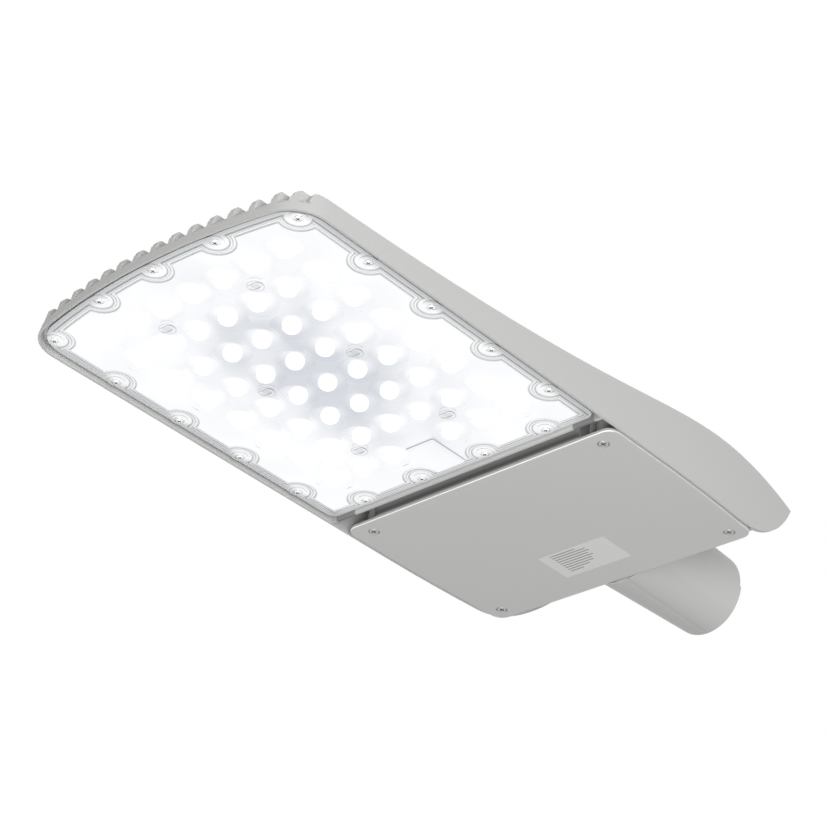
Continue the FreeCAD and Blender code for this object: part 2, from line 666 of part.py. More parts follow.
def housing():
    block = leaning_block(0, 0.0, top, tail_cut)
    profile = side_prism(side_profile(), width / 2)
    body = block.common(profile)
    between_wings = leaning_block(size("wing_wall"), -reach, top, tail_cut)
    body = body.cut(between_wings.common(above_roof()))
    body = body.cut(between_wings.common(hood_space()))
    body = body.cut(front_edge_waste())
    inside = leaning_block(size("skirt"), -reach, top, tail_cut)
    body = body.cut(inside.common(cover_space()))
    body = body.cut(rounded_block(place("lens_rear") + size("bay_rear_inset"),
                                  size("head_front") - size("bay_front_inset"),
                                  size("half_width") - size("bay_side_inset"), size("bay_corner"),
                                  0, place("board_floor")))
    # Tub walls and screw bosses stand in the space under the cover
    cover_inner = place("cover_inner")
    walls = tub_ring(0, size("tub_wall"), cover_inner + size("tub_play"), top)
    bosses = [upright(x, y, size("boss_width"), cover_inner, top) for x, y in cover_screw_places()]
    tray_top = size("tray_height") + size("tray_thickness")
    bosses += [upright(x, y, size("boss_width"), tray_top, top) for x, y in tray_screw_places()]
    inner_parts = walls.multiFuse(bosses).common(profile.cut(above_roof()))
    rib_room = block.common(Part.makeBox(size("head_front"), width, 2 * top,
                                         vec(size("rib_rear"), -width / 2, level(0))))
    ribs = [rib(y).common(rib_room) for y in rib_places()]
    body = body.multiFuse([inner_parts, socket_outside()] + ribs)
    lens_room = inside.common(Part.makeBox(size("head_front"), width, reach + size("lens_seat_height"),
                                           vec(place("lens_rear"), -width / 2, level(-reach))))
    body = body.cut(lens_room)
    # The cover passes under the rear wall and the tube
    play = size("hole_play")
    seal_top = cover_inner + size("seal_height")
    side = place("tub_side")
    notch = Part.makeBox(size("tub_wall") + 2 * play, 2 * (side + play), cover_inner + size("tub_play") + reach,
                         vec(place("cover_rear") - play, -side - play, level(-reach)))
    body = body.cut(notch).cut(seal_ring(seal_top))
    bore = lengthwise(size("socket_bore"), -1.0, size("socket_depth"), 0, 0)
    through = place("room_rear") + size("hole_play")
    cable = lengthwise(size("cable_hole"), size("socket_depth") - 1.0, through, 0, -size("cable_hole_drop"))
    vent = lengthwise(size("vent_thread"), place("cover_rear") - play, through, size("vent_side"), -size("vent_drop"))
    holes = [Part.makeCylinder(size("set_screw_size") / 2, 2 * size("socket_bore"), vec(x, 0, 0))
             for x in set_screw_places()]
    return body.cut(bore.multiFuse([cable, vent] + holes + screw_holes())).removeSplitter()


housing_piece = feature("housing", housing())


# Lens side

def flat_solid(wire, low, high):
    face = Part.Face(wire)
    face.translate(vec(0, 0, level(low) - wire.Vertexes[0].Z))
    return face.extrude(vec(0, 0, high - low))


def bay_region(inset, rear_inset, clear, low, high, round_off=0.0):
    """Plate region inside the lip with round bays kept clear of the lens screws."""
    region = flat_solid(head_wire(inset, 0, place("lens_rear") + rear_inset), low, high)
    bays = [upright(x, y, 2 * clear, low - 1.0, high + 1.0) for x, y in lens_screw_places()]
    region = region.cut(bays[0].multiFuse(bays[1:]))
    if not round_off:
        return region
    floor = [f for f in region.Faces if abs(f.BoundBox.ZMax - level(low)) < 0.001][0]
    face = floor.makeOffset2D(-round_off).makeOffset2D(round_off)
    return face.extrude(vec(0, 0, high - low))


def pill(x, y, length, across, low, high):
    """Flat solid with round ends, long side across the head."""
    straight = (length - across) / 2
    body = Part.makeBox(across, 2 * straight, high - low, vec(x - across / 2, y - straight, level(low)))
    return body.multiFuse([upright(x, y + side * straight, across, low, high) for side in (1, -1)])


def dome_section():
    """Half section of a lens dome, its base sunk a little into the plate."""
    rise, radius, sunk = size("dome_rise"), size("dome_radius"), size("plateau_rise") / 2
    ball = (radius ** 2 + rise ** 2) / (2 * rise)
    half_turn = math.asin(radius / ball) / 2
    middle = vec(ball * math.sin(half_turn), 0, ball - rise - ball * math.cos(half_turn))
    outline = poly_edges([vec(0, 0, -rise), vec(0, 0, sunk), vec(radius, 0, sunk), vec(radius, 0, 0)])
    return Part.Face(Part.Wire(outline + [Part.Arc(vec(radius, 0, 0), middle, vec(0, 0, -rise)).toShape()]))


def connector_box(front, rear, face, root):
    """Raised box over the board's connector, with a bevel round its outer face."""
    low = face - size("plug_box_rise")
    box = rounded_block(rear, front, size("plug_box_half_width"), 1.5 * size("plug_box_draft"), low, root)
    rim = [e for e in box.Edges if abs(e.BoundBox.ZMax - level(low)) < 0.001]
    return box.makeChamfer(size("plug_box_draft"), rim)


def lens_plate():
    """Moulded lens plate: flange, ridge, raised middle, domes, frames and connector box."""
    low = size("lens_flange_height")
    high = low + size("lens_thickness")
    rear = place("lens_rear")
    root = low + size("plateau_rise") / 2
    inset = size("skirt") + size("lens_gap")
    plate = flat_solid(head_wire(inset, 0, rear + size("lens_rear_gap"), size("lens_front_corner")), low, high)
    plate = plate.makeFillet(size("lens_rear_corner"),
                             upright_edges(plate, x_high=rear + size("lens_rear_gap") + 0.1))
    face = low - size("plateau_rise")
    rear_inset = size("plateau_rear_inset")
    bay = size("screw_bay")
    plateau = bay_region(size("plateau_inset"), rear_inset, bay, face, root, size("plateau_round"))
    inner, outer = size("ridge_offset"), size("ridge_offset") + size("ridge_width")
    ridge_low = low - size("ridge_rise")
    outline = size("plateau_inset")
    ridge = bay_region(outline - outer, rear_inset - outer, bay - outer, ridge_low, root)
    ridge = ridge.cut(bay_region(outline - inner, rear_inset - inner, bay - inner, ridge_low - 1.0, root + 1.0))
    ring_low = low - size("ring_rise")
    rings = [upright(x, y, size("ring_outside"), ring_low, root).cut(
        upright(x, y, size("ring_inside"), ring_low - 1.0, low)) for x, y in lens_screw_places()]
    inside_plate = flat_solid(head_wire(inset, 0, rear + size("lens_rear_gap"), size("lens_front_corner")),
                              ring_low - 1.0, high)
    rings = [ring.common(inside_plate) for ring in rings]
    dome = dome_section().revolve(vec(0, 0, 0), vec(0, 0, 1), 360)
    domes = []
    for x, y in led_places():
        one = dome.copy()
        one.translate(vec(x, y, level(face)))
        domes.append(one)
    frames = []
    for x, y in lug_places():
        rim = 2 * size("lug_rim")
        outside = pill(x, y, size("lug_length"), size("lug_width"), face - size("lug_rise"), root)
        sunk = pill(x, y, size("lug_length") - rim, size("lug_width") - rim, face - size("lug_rise") - 1.0, face)
        frames.append(outside.cut(sunk))
    box_rear = rear + rear_inset
    box_front = led_rows()[-1] + size("plug_box_reach")
    box = connector_box(box_front, box_rear, face, root)
    plate = plate.multiFuse([plateau, ridge, box] + rings + frames + domes)
    wall = size("lens_thickness")
    box_floor = face - size("plug_box_rise") + wall
    half = size("plug_box_half_width") - wall
    hollow = Part.makeBox(box_front - box_rear - 2 * wall, 2 * half, high + 1.0 - box_floor,
                          vec(box_rear + wall, -half, level(box_floor)))
    holes = [upright(x, y, size("lens_screw_size") + size("hole_play"), ring_low - 1.0, high + 1.0)
             for x, y in lens_screw_places()]
    return plate.cut(hollow.multiFuse(holes)).removeSplitter()


def lens_gasket():
    low = size("lens_flange_height") + size("lens_thickness")
    high = size("lens_seat_height")
    inset, rear, clear = size("gasket_inset"), size("gasket_rear_inset"), size("gasket_bay")
    across = size("gasket_width")
    outer = bay_region(inset, rear, clear, low, high)
    return outer.cut(bay_region(inset + across, rear + across, clear + across, low - 1.0, high + 1.0))


# Turned and plated pieces

def origin_plane(body, role):
    return [plane for plane in body.Origin.OriginFeatures if plane.Role == role][0]


def closed_sketch(body, name, role, points):
    """Sketch of straight lines through the points, on one of the body's origin planes."""
    sketch = body.newObject("Sketcher::SketchObject", name)
    sketch.AttachmentSupport = [(origin_plane(body, role), "")]
    sketch.MapMode = "FlatFace"
    for (x0, y0), (x1, y1) in zip(points, points[1:] + points[:1]):
        sketch.addGeometry(Part.LineSegment(vec(x0, y0), vec(x1, y1)))
    return sketch


def turned_body(label, outline):
    """Body of revolution about Z from a half section given as radius and height."""
    body = document.addObject("PartDesign::Body", label)
    sketch = closed_sketch(body, label + "_section", "XZ_Plane", outline)
    turn = body.newObject("PartDesign::Revolution", label + "_turn")
    turn.Profile = sketch
    turn.ReferenceAxis = (sketch, ["V_Axis"])
    turn.Angle = 360
    document.recompute()
    return body


def screw_body(label, thread, head, head_rise, length):
    """Screw standing head down at the origin: bevelled head, plain shank, cross recess."""
    bevel = head_rise * 0.35
    shank = (thread - size("thread_play")) / 2
    body = turned_body(label, [
        (0, -head_rise), (head / 2 - bevel, -head_rise), (head / 2, bevel - head_rise),
        (head / 2, 0), (shank, 0), (shank, length), (0, length),
    ])
    arm, slot = head * 0.3, head * 0.07
    cross = [(arm, -slot), (arm, slot), (slot, slot), (slot, arm), (-slot, arm), (-slot, slot),
             (-arm, slot), (-arm, -slot), (-slot, -slot), (-slot, -arm), (slot, -arm), (slot, -slot)]
    sketch = closed_sketch(body, label + "_cross", "XY_Plane", cross)
    sketch.AttachmentOffset = FreeCAD.Placement(vec(0, 0, -head_rise), FreeCAD.Rotation())
    pocket = body.newObject("PartDesign::Pocket", label + "_recess")
    pocket.Profile = sketch
    pocket.Length = head_rise * 0.6
    pocket.Reversed = True
    whole = body.Shape.Volume
    document.recompute()
    if body.Shape.Volume > whole - 0.01:
        raise SystemExit("no recess in %s" % label)
    return body


def group(label, body, places, seat):
    """The same piece at several places, standing on a height above the lip."""
    copies = []
    for x, y in places:
        one = body.Shape.copy()
        one.translate(vec(x, y, level(seat)))
        copies.append(one)
    return feature(label, Part.makeCompound(copies))


def board_spans():
    """Rear and front edge of each board, and its LED rows: those near its two screws."""
    lines = lug_lines()
    rows = led_rows()
    split = 0.6 * (lines[0] - lines[1])
    half = (size("led_row_pitch") - size("board_gap")) / 2
    spans = []
    for k, line in enumerate(lines):
        last = k == len(lines) - 1
        own = [x for x in rows if (k == 0 or x < lines[k - 1] - split) and (last or x >= line - split)]
        front = own[0] + (size("board_margin") if k == 0 else half)
        rear = own[-1] - (size("board_margin") if last else half)
        spans.append((rear, front, own))
    return spans


def board_body(label, rear, front):
    """LED board: a padded rectangle with rounded corners and two screw holes."""
    half = size("half_width") - size("bay_side_inset") - size("board_side_gap")
    body = document.addObject("PartDesign::Body", label)
    body.Label = label
    body.setExpression("Placement.Base.z", expression("board_face") + " - Sizes.socket_drop")
    sketch = closed_sketch(body, label + "_outline", "XY_Plane", [
        (rear, -half), (front, -half), (front, half), (rear, half),
    ])
    pad = body.newObject("PartDesign::Pad", label + "_pad")
    pad.Profile = sketch
    pad.setExpression("Length", "Sizes.board_thickness")
    document.recompute()
    corners = body.newObject("PartDesign::Fillet", label + "_corners")
    corners.Base = (pad, ["Edge%d" % (k + 1) for k, e in enumerate(pad.Shape.Edges)
                          if abs(e.Vertexes[0].Z - e.Vertexes[-1].Z) > 0.1])
    corners.Radius = 3.0
    holes = body.newObject("Sketcher::SketchObject", label + "_holes")
    holes.AttachmentSupport = [(origin_plane(body, "XY_Plane"), "")]
    holes.MapMode = "FlatFace"
    radius = (size("lens_screw_size") + size("hole_play")) / 2
    for x, y in lug_places():
        if rear < x < front:
            holes.addGeometry(Part.Circle(vec(x, y), vec(0, 0, 1), radius))
    pocket = body.newObject("PartDesign::Pocket", label + "_drill")
    pocket.Profile = holes
    pocket.Type = "ThroughAll"
    pocket.Midplane = True
    document.recompute()
    return body


board_floor = place("board_floor")
board_face = place("board_face")
lens_screw = screw_body("lens_screw", size("lens_screw_size"), size("lens_screw_head"),
                        size("lens_screw_head_rise"), size("lens_screw_length"))
pieces = [housing_piece, feature("lens_plate", lens_plate()), feature("lens_gasket", lens_gasket())]
pieces.append(group("lens_screws", lens_screw, lens_screw_places(), size("lens_flange_height")))
chip = Part.makeBox(size("led_package"), size("led_package"), size("led_rise"),
                    vec(-size("led_package") / 2, -size("led_package") / 2, -size("led_rise")))
chip_body = feature("led_package", chip)
for name, (board_rear, board_front, rows) in zip(("front", "middle", "rear"), board_spans()):
    pieces.append(board_body("led_board_%s" % name, board_rear, board_front))
    pieces.append(group("leds_%s" % name, chip_body, [p for p in led_places() if p[0] in rows], board_face))


# Cover side

def cover_wire(inset):
    """Outline of the driver cover: straight ends, sides that follow the head."""
    edges, end = side_edges(place("cover_front"), place("cover_rear"), inset, 0)
    start = edges[0].Vertexes[0].Point
    other = [e.mirror(vec(0, 0, 0), vec(0, 1, 0)) for e in edges[::-1]]
    back = Part.LineSegment(end, vec(end.x, -end.y, end.z)).toShape()
    front = Part.LineSegment(vec(start.x, -start.y, start.z), start).toShape()
    return Part.Wire(edges + [back] + other + [front])


def driver_cover():
    face = -size("cover_drop")
    inner = place("cover_inner")
    plate = flat_solid(cover_wire(size("skirt") + size("cover_gap")), face, inner)
    front, rear = place("cover_front"), place("cover_rear")
    corners = upright_edges(plate, x_low=front - 0.1) + upright_edges(plate, x_high=rear + 0.1)
    plate = plate.makeFillet(size("cover_corner"), corners)
    outer = [e for e in plate.Edges if abs(e.BoundBox.ZMax - level(face)) < 0.01]
    plate = plate.makeFillet(size("cover_edge"), outer)
    cuts = []
    for x, y in cover_screw_places():
        cuts.append(upright(x, y, size("cover_cup"), face - 1.0, face + size("cover_cup_depth")))
        cuts.append(upright(x, y, size("cover_screw_size") + size("hole_play"), face, inner + 1.0))
    return plate.cut(cuts[0].multiFuse(cuts[1:]))


cover_screw = screw_body("cover_screw", size("cover_screw_size"), size("cover_screw_head"),
                         size("cover_cup_depth"), size("cover_screw_length"))
pieces.append(feature("driver_cover", driver_cover()))
pieces.append(feature("cover_gasket", seal_ring(place("cover_inner") + size("seal_height"))))
pieces.append(group("cover_screws", cover_screw, cover_screw_places(), size("cover_cup_depth") - size("cover_drop")))


# Gear tray and what hangs from it

def bind(item, bindings):
    for name, text in bindings:
        item.setExpression(name, text)
    return item


def bound_box(label, length, across, height, x, y, z):
    """Box whose sides and place are bound to the sheet."""
    box = document.addObject("Part::Box", label)
    return bind(box, [("Length", length), ("Width", across), ("Height", height),
                      ("Placement.Base.x", x), ("Placement.Base.y", y), ("Placement.Base.z", z)])


def bound_cylinder(label, radius, height, x, y, z):
    cylinder = document.addObject("Part::Cylinder", label)
    return bind(cylinder, [("Radius", radius), ("Height", height),
                           ("Placement.Base.x", x), ("Placement.Base.y", y), ("Placement.Base.z", z)])


def fuse_object(label, shapes):
    result = document.addObject("Part::MultiFuse", label)
    result.Shapes = shapes
    return result


def cut_object(label, base, tools):
    """Base with the tools taken away, both kept as objects of the document."""
    result = document.addObject("Part::Cut", label)
    result.Label = label
    result.Base = base
    result.Tool = fuse_object(label + "_tools", tools)
    return result


tray_level = expression("tray_level")
tray_plate = bound_box("tray_plate", "%s - %s" % (expression("tray_front"), expression("tray_rear")),
                       "2 * " + expression("tray_side"), "Sizes.tray_thickness",
                       expression("tray_rear"), "-" + expression("tray_side"), tray_level)
tray_holes = []


def tray_hole(label, diameter, x, y):
    tray_holes.append(bound_cylinder(label, diameter + " / 2", "3 * Sizes.tray_thickness", x, y,
                                     tray_level + " - Sizes.tray_thickness"))


for end, edge_x in (("front", expression("tray_front") + " - Sizes.tray_screw_inset"),
                    ("rear", expression("tray_rear") + " + Sizes.tray_screw_inset")):
    for side, sign in (("left", "1"), ("right", "-1")):
        tray_hole("tray_hole_%s_%s" % (end, side), "(Sizes.tray_screw_size + Sizes.hole_play)", edge_x,
                  "%s * (%s - Sizes.tray_screw_inset)" % (sign, expression("tray_side")))


def gear(label, rear, across, length, depth, middle):
    """Box hung under the tray by an ear at each end, and its two screw places."""
    body = bound_box(label + "_body", across, length, depth, rear,
                     "%s - %s / 2" % (middle, length), "%s - %s" % (tray_level, depth))
    centre_x = "%s + %s / 2" % (rear, across)
    ears = bound_box(label + "_ears", "2 * Sizes.small_screw_head", length + " + 2 * Sizes.ear_length",
                     "Sizes.ear_thickness", centre_x + " - Sizes.small_screw_head",
                     "%s - %s / 2 - Sizes.ear_length" % (middle, length), tray_level + " - Sizes.ear_thickness")
    holes, screws = [], []
    for side, sign in (("left", "1"), ("right", "-1")):
        y = "%s + %s * (%s + Sizes.ear_length) / 2" % (middle, sign, length)
        holes.append(bound_cylinder("%s_hole_%s" % (label, side), "(Sizes.small_screw_size + Sizes.hole_play) / 2",
                                    "3 * Sizes.ear_thickness", centre_x, y,
                                    tray_level + " - 2 * Sizes.ear_thickness"))
        tray_hole("%s_tray_hole_%s" % (label, side), "Sizes.small_screw_size", centre_x, y)
        screws.append((float(sheet.evalExpression(centre_x)), float(sheet.evalExpression(y))))
    return cut_object(label, fuse_object(label + "_blank", [body, ears]), holes), screws


driver, driver_screws = gear("led_driver", expression("driver_rear"), "Sizes.driver_width",
                             "(2 * %s)" % expression("driver_reach"), "Sizes.driver_depth", "0")
block, block_screws = gear("terminal_block", expression("block_rear"), "Sizes.block_width",
                           "Sizes.block_length", "Sizes.block_depth", expression("block_middle"))
surge, surge_screws = gear("surge_protector", expression("surge_rear"), "Sizes.surge_width",
                           "Sizes.surge_length", "Sizes.surge_depth", expression("surge_middle"))
tray = cut_object("gear_tray", tray_plate, tray_holes)
document.recompute()
pieces += [tray, driver, block, surge]

tray_screw = screw_body("tray_screw", size("tray_screw_size"), size("tray_screw_head"),
                        size("tray_screw_head_rise"), size("tray_screw_length"))
gear_screw = screw_body("gear_screw", size("small_screw_size"), size("small_screw_head"),
                        size("small_screw_head_rise"), size("tray_thickness") + size("ear_thickness") + 1.0)
board_screw = screw_body("board_screw", size("lens_screw_size"), size("small_screw_head"),
                         size("board_screw_head_rise"),
                         size("board_thickness") + size("board_screw_grip") - size("thread_play"))
pieces.append(group("tray_screws", tray_screw, tray_screw_places(), size("tray_height")))
pieces.append(group("gear_screws", gear_screw, driver_screws + block_screws + surge_screws,
                    size("tray_height") - size("ear_thickness")))
pieces.append(group("board_screws", board_screw, lug_places(), board_face))

plug_rear = board_spans()[-1][0] + size("plug_inset")
plug = rounded_block(plug_rear, plug_rear + size("plug_length"), size("plug_half_width"), 0.8,
                     board_face - size("plug_depth"), board_face)
pieces.append(feature("board_connector", plug))


def lay_along(body, x, y, z):
    """Turn a body made about Z so that it lies along the head, at a bound place."""
    body.Placement = FreeCAD.Placement(vec(0, 0, 0), FreeCAD.Rotation(vec(0, 1, 0), 90))
    bind(body, [("Placement.Base.x", x), ("Placement.Base.y", y), ("Placement.Base.z", z)])
    document.recompute()
    return body


vent_body = (size("vent_thread") - size("thread_play")) / 2
vent_wide = size("vent_head") / 2
vent_end = size("tub_wall") + size("vent_nut")
vent = turned_body("breather_vent", [
    (0, -size("vent_cap")), (vent_wide, -size("vent_cap")), (vent_wide, 0), (vent_body, 0),
    (vent_body, size("tub_wall")), (vent_wide, size("tub_wall")), (vent_wide, vent_end), (0, vent_end),
])
pieces.append(lay_along(vent, expression("cover_rear"), "Sizes.vent_side", "-Sizes.vent_drop"))

neck = size("stop_gap") + size("tub_wall")
flange_end = neck + size("grommet_flange_width")
grommet_bore, grommet_neck, grommet_wide = size("grommet_hole") / 2, size("cable_hole") / 2, size("grommet_flange") / 2
grommet = turned_body("cable_grommet", [
    (grommet_bore, 0), (grommet_neck, 0), (grommet_neck, neck), (grommet_wide, neck),
    (grommet_wide, flange_end), (grommet_bore, flange_end),
])
pieces.append(lay_along(grommet, "Sizes.socket_depth", "0", "-Sizes.cable_hole_drop"))

stud_top = size("socket_mouth") / 2 + size("set_screw_boss_rise")
stud = Part.makeCylinder((size("set_screw_size") - size("thread_play")) / 2, stud_top - size("socket_bore") / 2,
                         vec(0, 0, size("socket_bore") / 2))
studs = []
for x in set_screw_places():
    one = stud.copy()
    one.translate(vec(x, 0))
    studs.append(one)
pieces.append(feature("pole_set_screws", Part.makeCompound(studs)))

document.recompute()
faults = [o.Label for o in document.Objects if "Invalid" in o.State or "Error" in o.State]
if faults:
    raise SystemExit("failed objects: %s" % faults)
os.makedirs("parts", exist_ok=True)
for piece in pieces:
    shape = piece.Shape
    if shape.isNull() or not shape.isValid():
        raise SystemExit("bad shape: %s" % piece.Label)
    shape.exportStep("parts/%s.step" % piece.Label)
    print(piece.Label, len(shape.Solids), "solids", len(shape.Faces), "faces", round(shape.Volume / 1000, 1), "cm3")
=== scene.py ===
import math

import bmesh
import bpy
from mathutils import Matrix, Vector


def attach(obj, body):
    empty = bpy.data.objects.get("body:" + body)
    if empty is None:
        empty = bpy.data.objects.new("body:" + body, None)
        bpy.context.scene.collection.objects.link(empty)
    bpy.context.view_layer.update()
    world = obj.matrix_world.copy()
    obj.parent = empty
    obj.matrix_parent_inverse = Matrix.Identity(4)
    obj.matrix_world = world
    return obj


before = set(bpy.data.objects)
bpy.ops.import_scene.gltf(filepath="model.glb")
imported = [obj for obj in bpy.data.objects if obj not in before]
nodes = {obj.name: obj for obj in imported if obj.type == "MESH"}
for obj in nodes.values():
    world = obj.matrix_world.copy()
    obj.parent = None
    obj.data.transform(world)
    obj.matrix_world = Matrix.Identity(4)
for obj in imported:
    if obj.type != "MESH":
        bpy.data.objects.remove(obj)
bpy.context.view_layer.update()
print("frame loaded:", len(nodes), "nodes")

mm = 0.001

# camera, at the photograph's viewpoint below and in front of the head
cameraSetup = {
    "place": (1.51845, 1.12305, -1.01759),
    "turn": (122.3348, -4.5169, 132.0111),
    "lens": 103.596,
}

cameraData = bpy.data.cameras.new("camera")
cameraData.lens = cameraSetup["lens"]
cameraData.sensor_width = 36.0
cameraData.sensor_fit = "HORIZONTAL"
cameraData.clip_end = 50.0
camera = bpy.data.objects.new("camera", cameraData)
camera.location = cameraSetup["place"]
camera.rotation_euler = [math.radians(a) for a in cameraSetup["turn"]]
bpy.context.collection.objects.link(camera)
bpy.context.scene.camera = camera
bpy.context.scene.view_settings.view_transform = "Standard"
print("camera placed")


# node helpers

def addNode(tree, kind, values=None, **settings):
    node = tree.nodes.new(kind)
    for key, value in settings.items():
        setattr(node, key, value)
    for key, value in (values or {}).items():
        node.inputs[key].default_value = value
    return node


def newGroup(name, inputs, outputs):
    group = bpy.data.node_groups.new(name, "ShaderNodeTree")
    for label, kind, value in inputs:
        socket = group.interface.new_socket(label, in_out="INPUT", socket_type=kind)
        if value is not None:
            socket.default_value = value
    for label, kind in outputs:
        group.interface.new_socket(label, in_out="OUTPUT", socket_type=kind)
    return group, group.nodes.new("NodeGroupInput"), group.nodes.new("NodeGroupOutput")


def useGroup(tree, group, values=None):
    node = tree.nodes.new("ShaderNodeGroup")
    node.node_tree = group
    for key, value in (values or {}).items():
        node.inputs[key].default_value = value
    return node


def calc(tree, operation, first, second=None, third=None, clamp=False):
    node = tree.nodes.new("ShaderNodeMath")
    node.operation = operation
    node.use_clamp = clamp
    for index, value in enumerate((first, second, third)):
        if value is None:
            continue
        if isinstance(value, (int, float)):
            node.inputs[index].default_value = value
        else:
            tree.links.new(value, node.inputs[index])
    return node.outputs[0]


def ramp(tree, value, fromLow, fromHigh, toLow=0.0, toHigh=1.0, smooth=True):
    node = tree.nodes.new("ShaderNodeMapRange")
    node.interpolation_type = "SMOOTHSTEP" if smooth else "LINEAR"
    node.inputs["From Min"].default_value = fromLow
    node.inputs["From Max"].default_value = fromHigh
    node.inputs["To Min"].default_value = toLow
    node.inputs["To Max"].default_value = toHigh
    tree.links.new(value, node.inputs["Value"])
    return node.outputs["Result"]


def mixColour(tree, factor, first, second):
    node = tree.nodes.new("ShaderNodeMix")
    node.data_type = "RGBA"
    for socket, value in ((node.inputs[0], factor), (node.inputs[6], first), (node.inputs[7], second)):
        if isinstance(value, (int, float, tuple)):
            socket.default_value = value
        else:
            tree.links.new(value, socket)
    return node.outputs[2]


# fine speckle of powder coat: a colour, a roughness and a normal
def makePowderGroup():
    group, given, result = newGroup("powderTexture", [
        ("Colour", "NodeSocketColor", (0.5, 0.5, 0.5, 1.0)),
        ("Speckle", "NodeSocketFloat", 0.03),
        ("Grain", "NodeSocketFloat", 2600.0),
        ("Depth", "NodeSocketFloat", 0.06),
        ("Roughness", "NodeSocketFloat", 0.5),
    ], [("Colour", "NodeSocketColor"), ("Roughness", "NodeSocketFloat"), ("Normal", "NodeSocketVector")])
    links = group.links
    place = addNode(group, "ShaderNodeTexCoord")
    fine = addNode(group, "ShaderNodeTexNoise", {"Detail": 3.0, "Roughness": 0.6})
    links.new(place.outputs["Object"], fine.inputs["Vector"])
    links.new(given.outputs["Grain"], fine.inputs["Scale"])
    cloudy = addNode(group, "ShaderNodeTexNoise", {"Scale": 14.0, "Detail": 2.0})
    links.new(place.outputs["Object"], cloudy.inputs["Vector"])
    both = calc(group, "ADD", fine.outputs["Fac"], calc(group, "MULTIPLY", cloudy.outputs["Fac"], 0.35))
    shift = calc(group, "MULTIPLY", calc(group, "SUBTRACT", both, 0.675), given.outputs["Speckle"])
    value = calc(group, "ADD", shift, 1.0)
    tone = addNode(group, "ShaderNodeVectorMath", operation="SCALE")
    links.new(given.outputs["Colour"], tone.inputs[0])
    links.new(value, tone.inputs["Scale"])
    links.new(tone.outputs[0], result.inputs["Colour"])
    rough = calc(group, "ADD", given.outputs["Roughness"], calc(group, "MULTIPLY", shift, 0.8), clamp=True)
    links.new(rough, result.inputs["Roughness"])
    bump = addNode(group, "ShaderNodeBump", {"Distance": 0.0002})
    links.new(given.outputs["Depth"], bump.inputs["Strength"])
    links.new(fine.outputs["Fac"], bump.inputs["Height"])
    links.new(bump.outputs["Normal"], result.inputs["Normal"])
    return group


powderGroup = makePowderGroup()


def newMaterial(name, values):
    material = bpy.data.materials.new(name)
    material.use_nodes = True
    tree = material.node_tree
    shader = tree.nodes["Principled BSDF"]
    for key, value in values.items():
        shader.inputs[key].default_value = value
    return material, tree, shader


def powderMaterial(name, colour, speckle, grain, depth, roughness):
    material, tree, shader = newMaterial(name, {"Specular IOR Level": 0.42})
    texture = useGroup(tree, powderGroup, {
        "Colour": (*colour, 1.0), "Speckle": speckle, "Grain": grain, "Depth": depth, "Roughness": roughness,
    })
    tree.links.new(texture.outputs["Colour"], shader.inputs["Base Color"])
    tree.links.new(texture.outputs["Roughness"], shader.inputs["Roughness"])
    tree.links.new(texture.outputs["Normal"], shader.inputs["Normal"])
    return material


def surface(name, colour, roughness, metallic=0.0, speckle=0.05, grain=900.0, depth=0.05):
    material, tree, shader = newMaterial(name, {"Metallic": metallic})
    texture = useGroup(tree, powderGroup, {
        "Colour": (*colour, 1.0), "Speckle": speckle, "Grain": grain, "Depth": depth, "Roughness": roughness,
    })
    tree.links.new(texture.outputs["Colour"], shader.inputs["Base Color"])
    tree.links.new(texture.outputs["Roughness"], shader.inputs["Roughness"])
    tree.links.new(texture.outputs["Normal"], shader.inputs["Normal"])
    return material


def dress(names, material):
    for name in names:
        data = nodes[name].data
        data.materials.clear()
        data.materials.append(material)


# finishes of the cast parts, and painted shade in the slot between the lens plate and the driver cover
castPaint = {"colour": (0.505, 0.503, 0.497), "speckle": 0.04, "grain": 2200.0, "depth": 0.08, "roughness": 0.45}
coverPaint = {"colour": (0.545, 0.543, 0.537), "speckle": 0.06, "grain": 1500.0, "depth": 0.10, "roughness": 0.36}
slotShade = {
    "rear": 0.3155, "front": 0.3300, "low": -0.0345, "high": -0.0295, "dark": 0.24, "deep": 0.64,
    "edge": -0.0378, "rise": 0.50, "gapRear": 0.3322, "gapFront": 0.3345, "spill": 0.10, "side": 0.1365,
    "ends": 0.72,
}
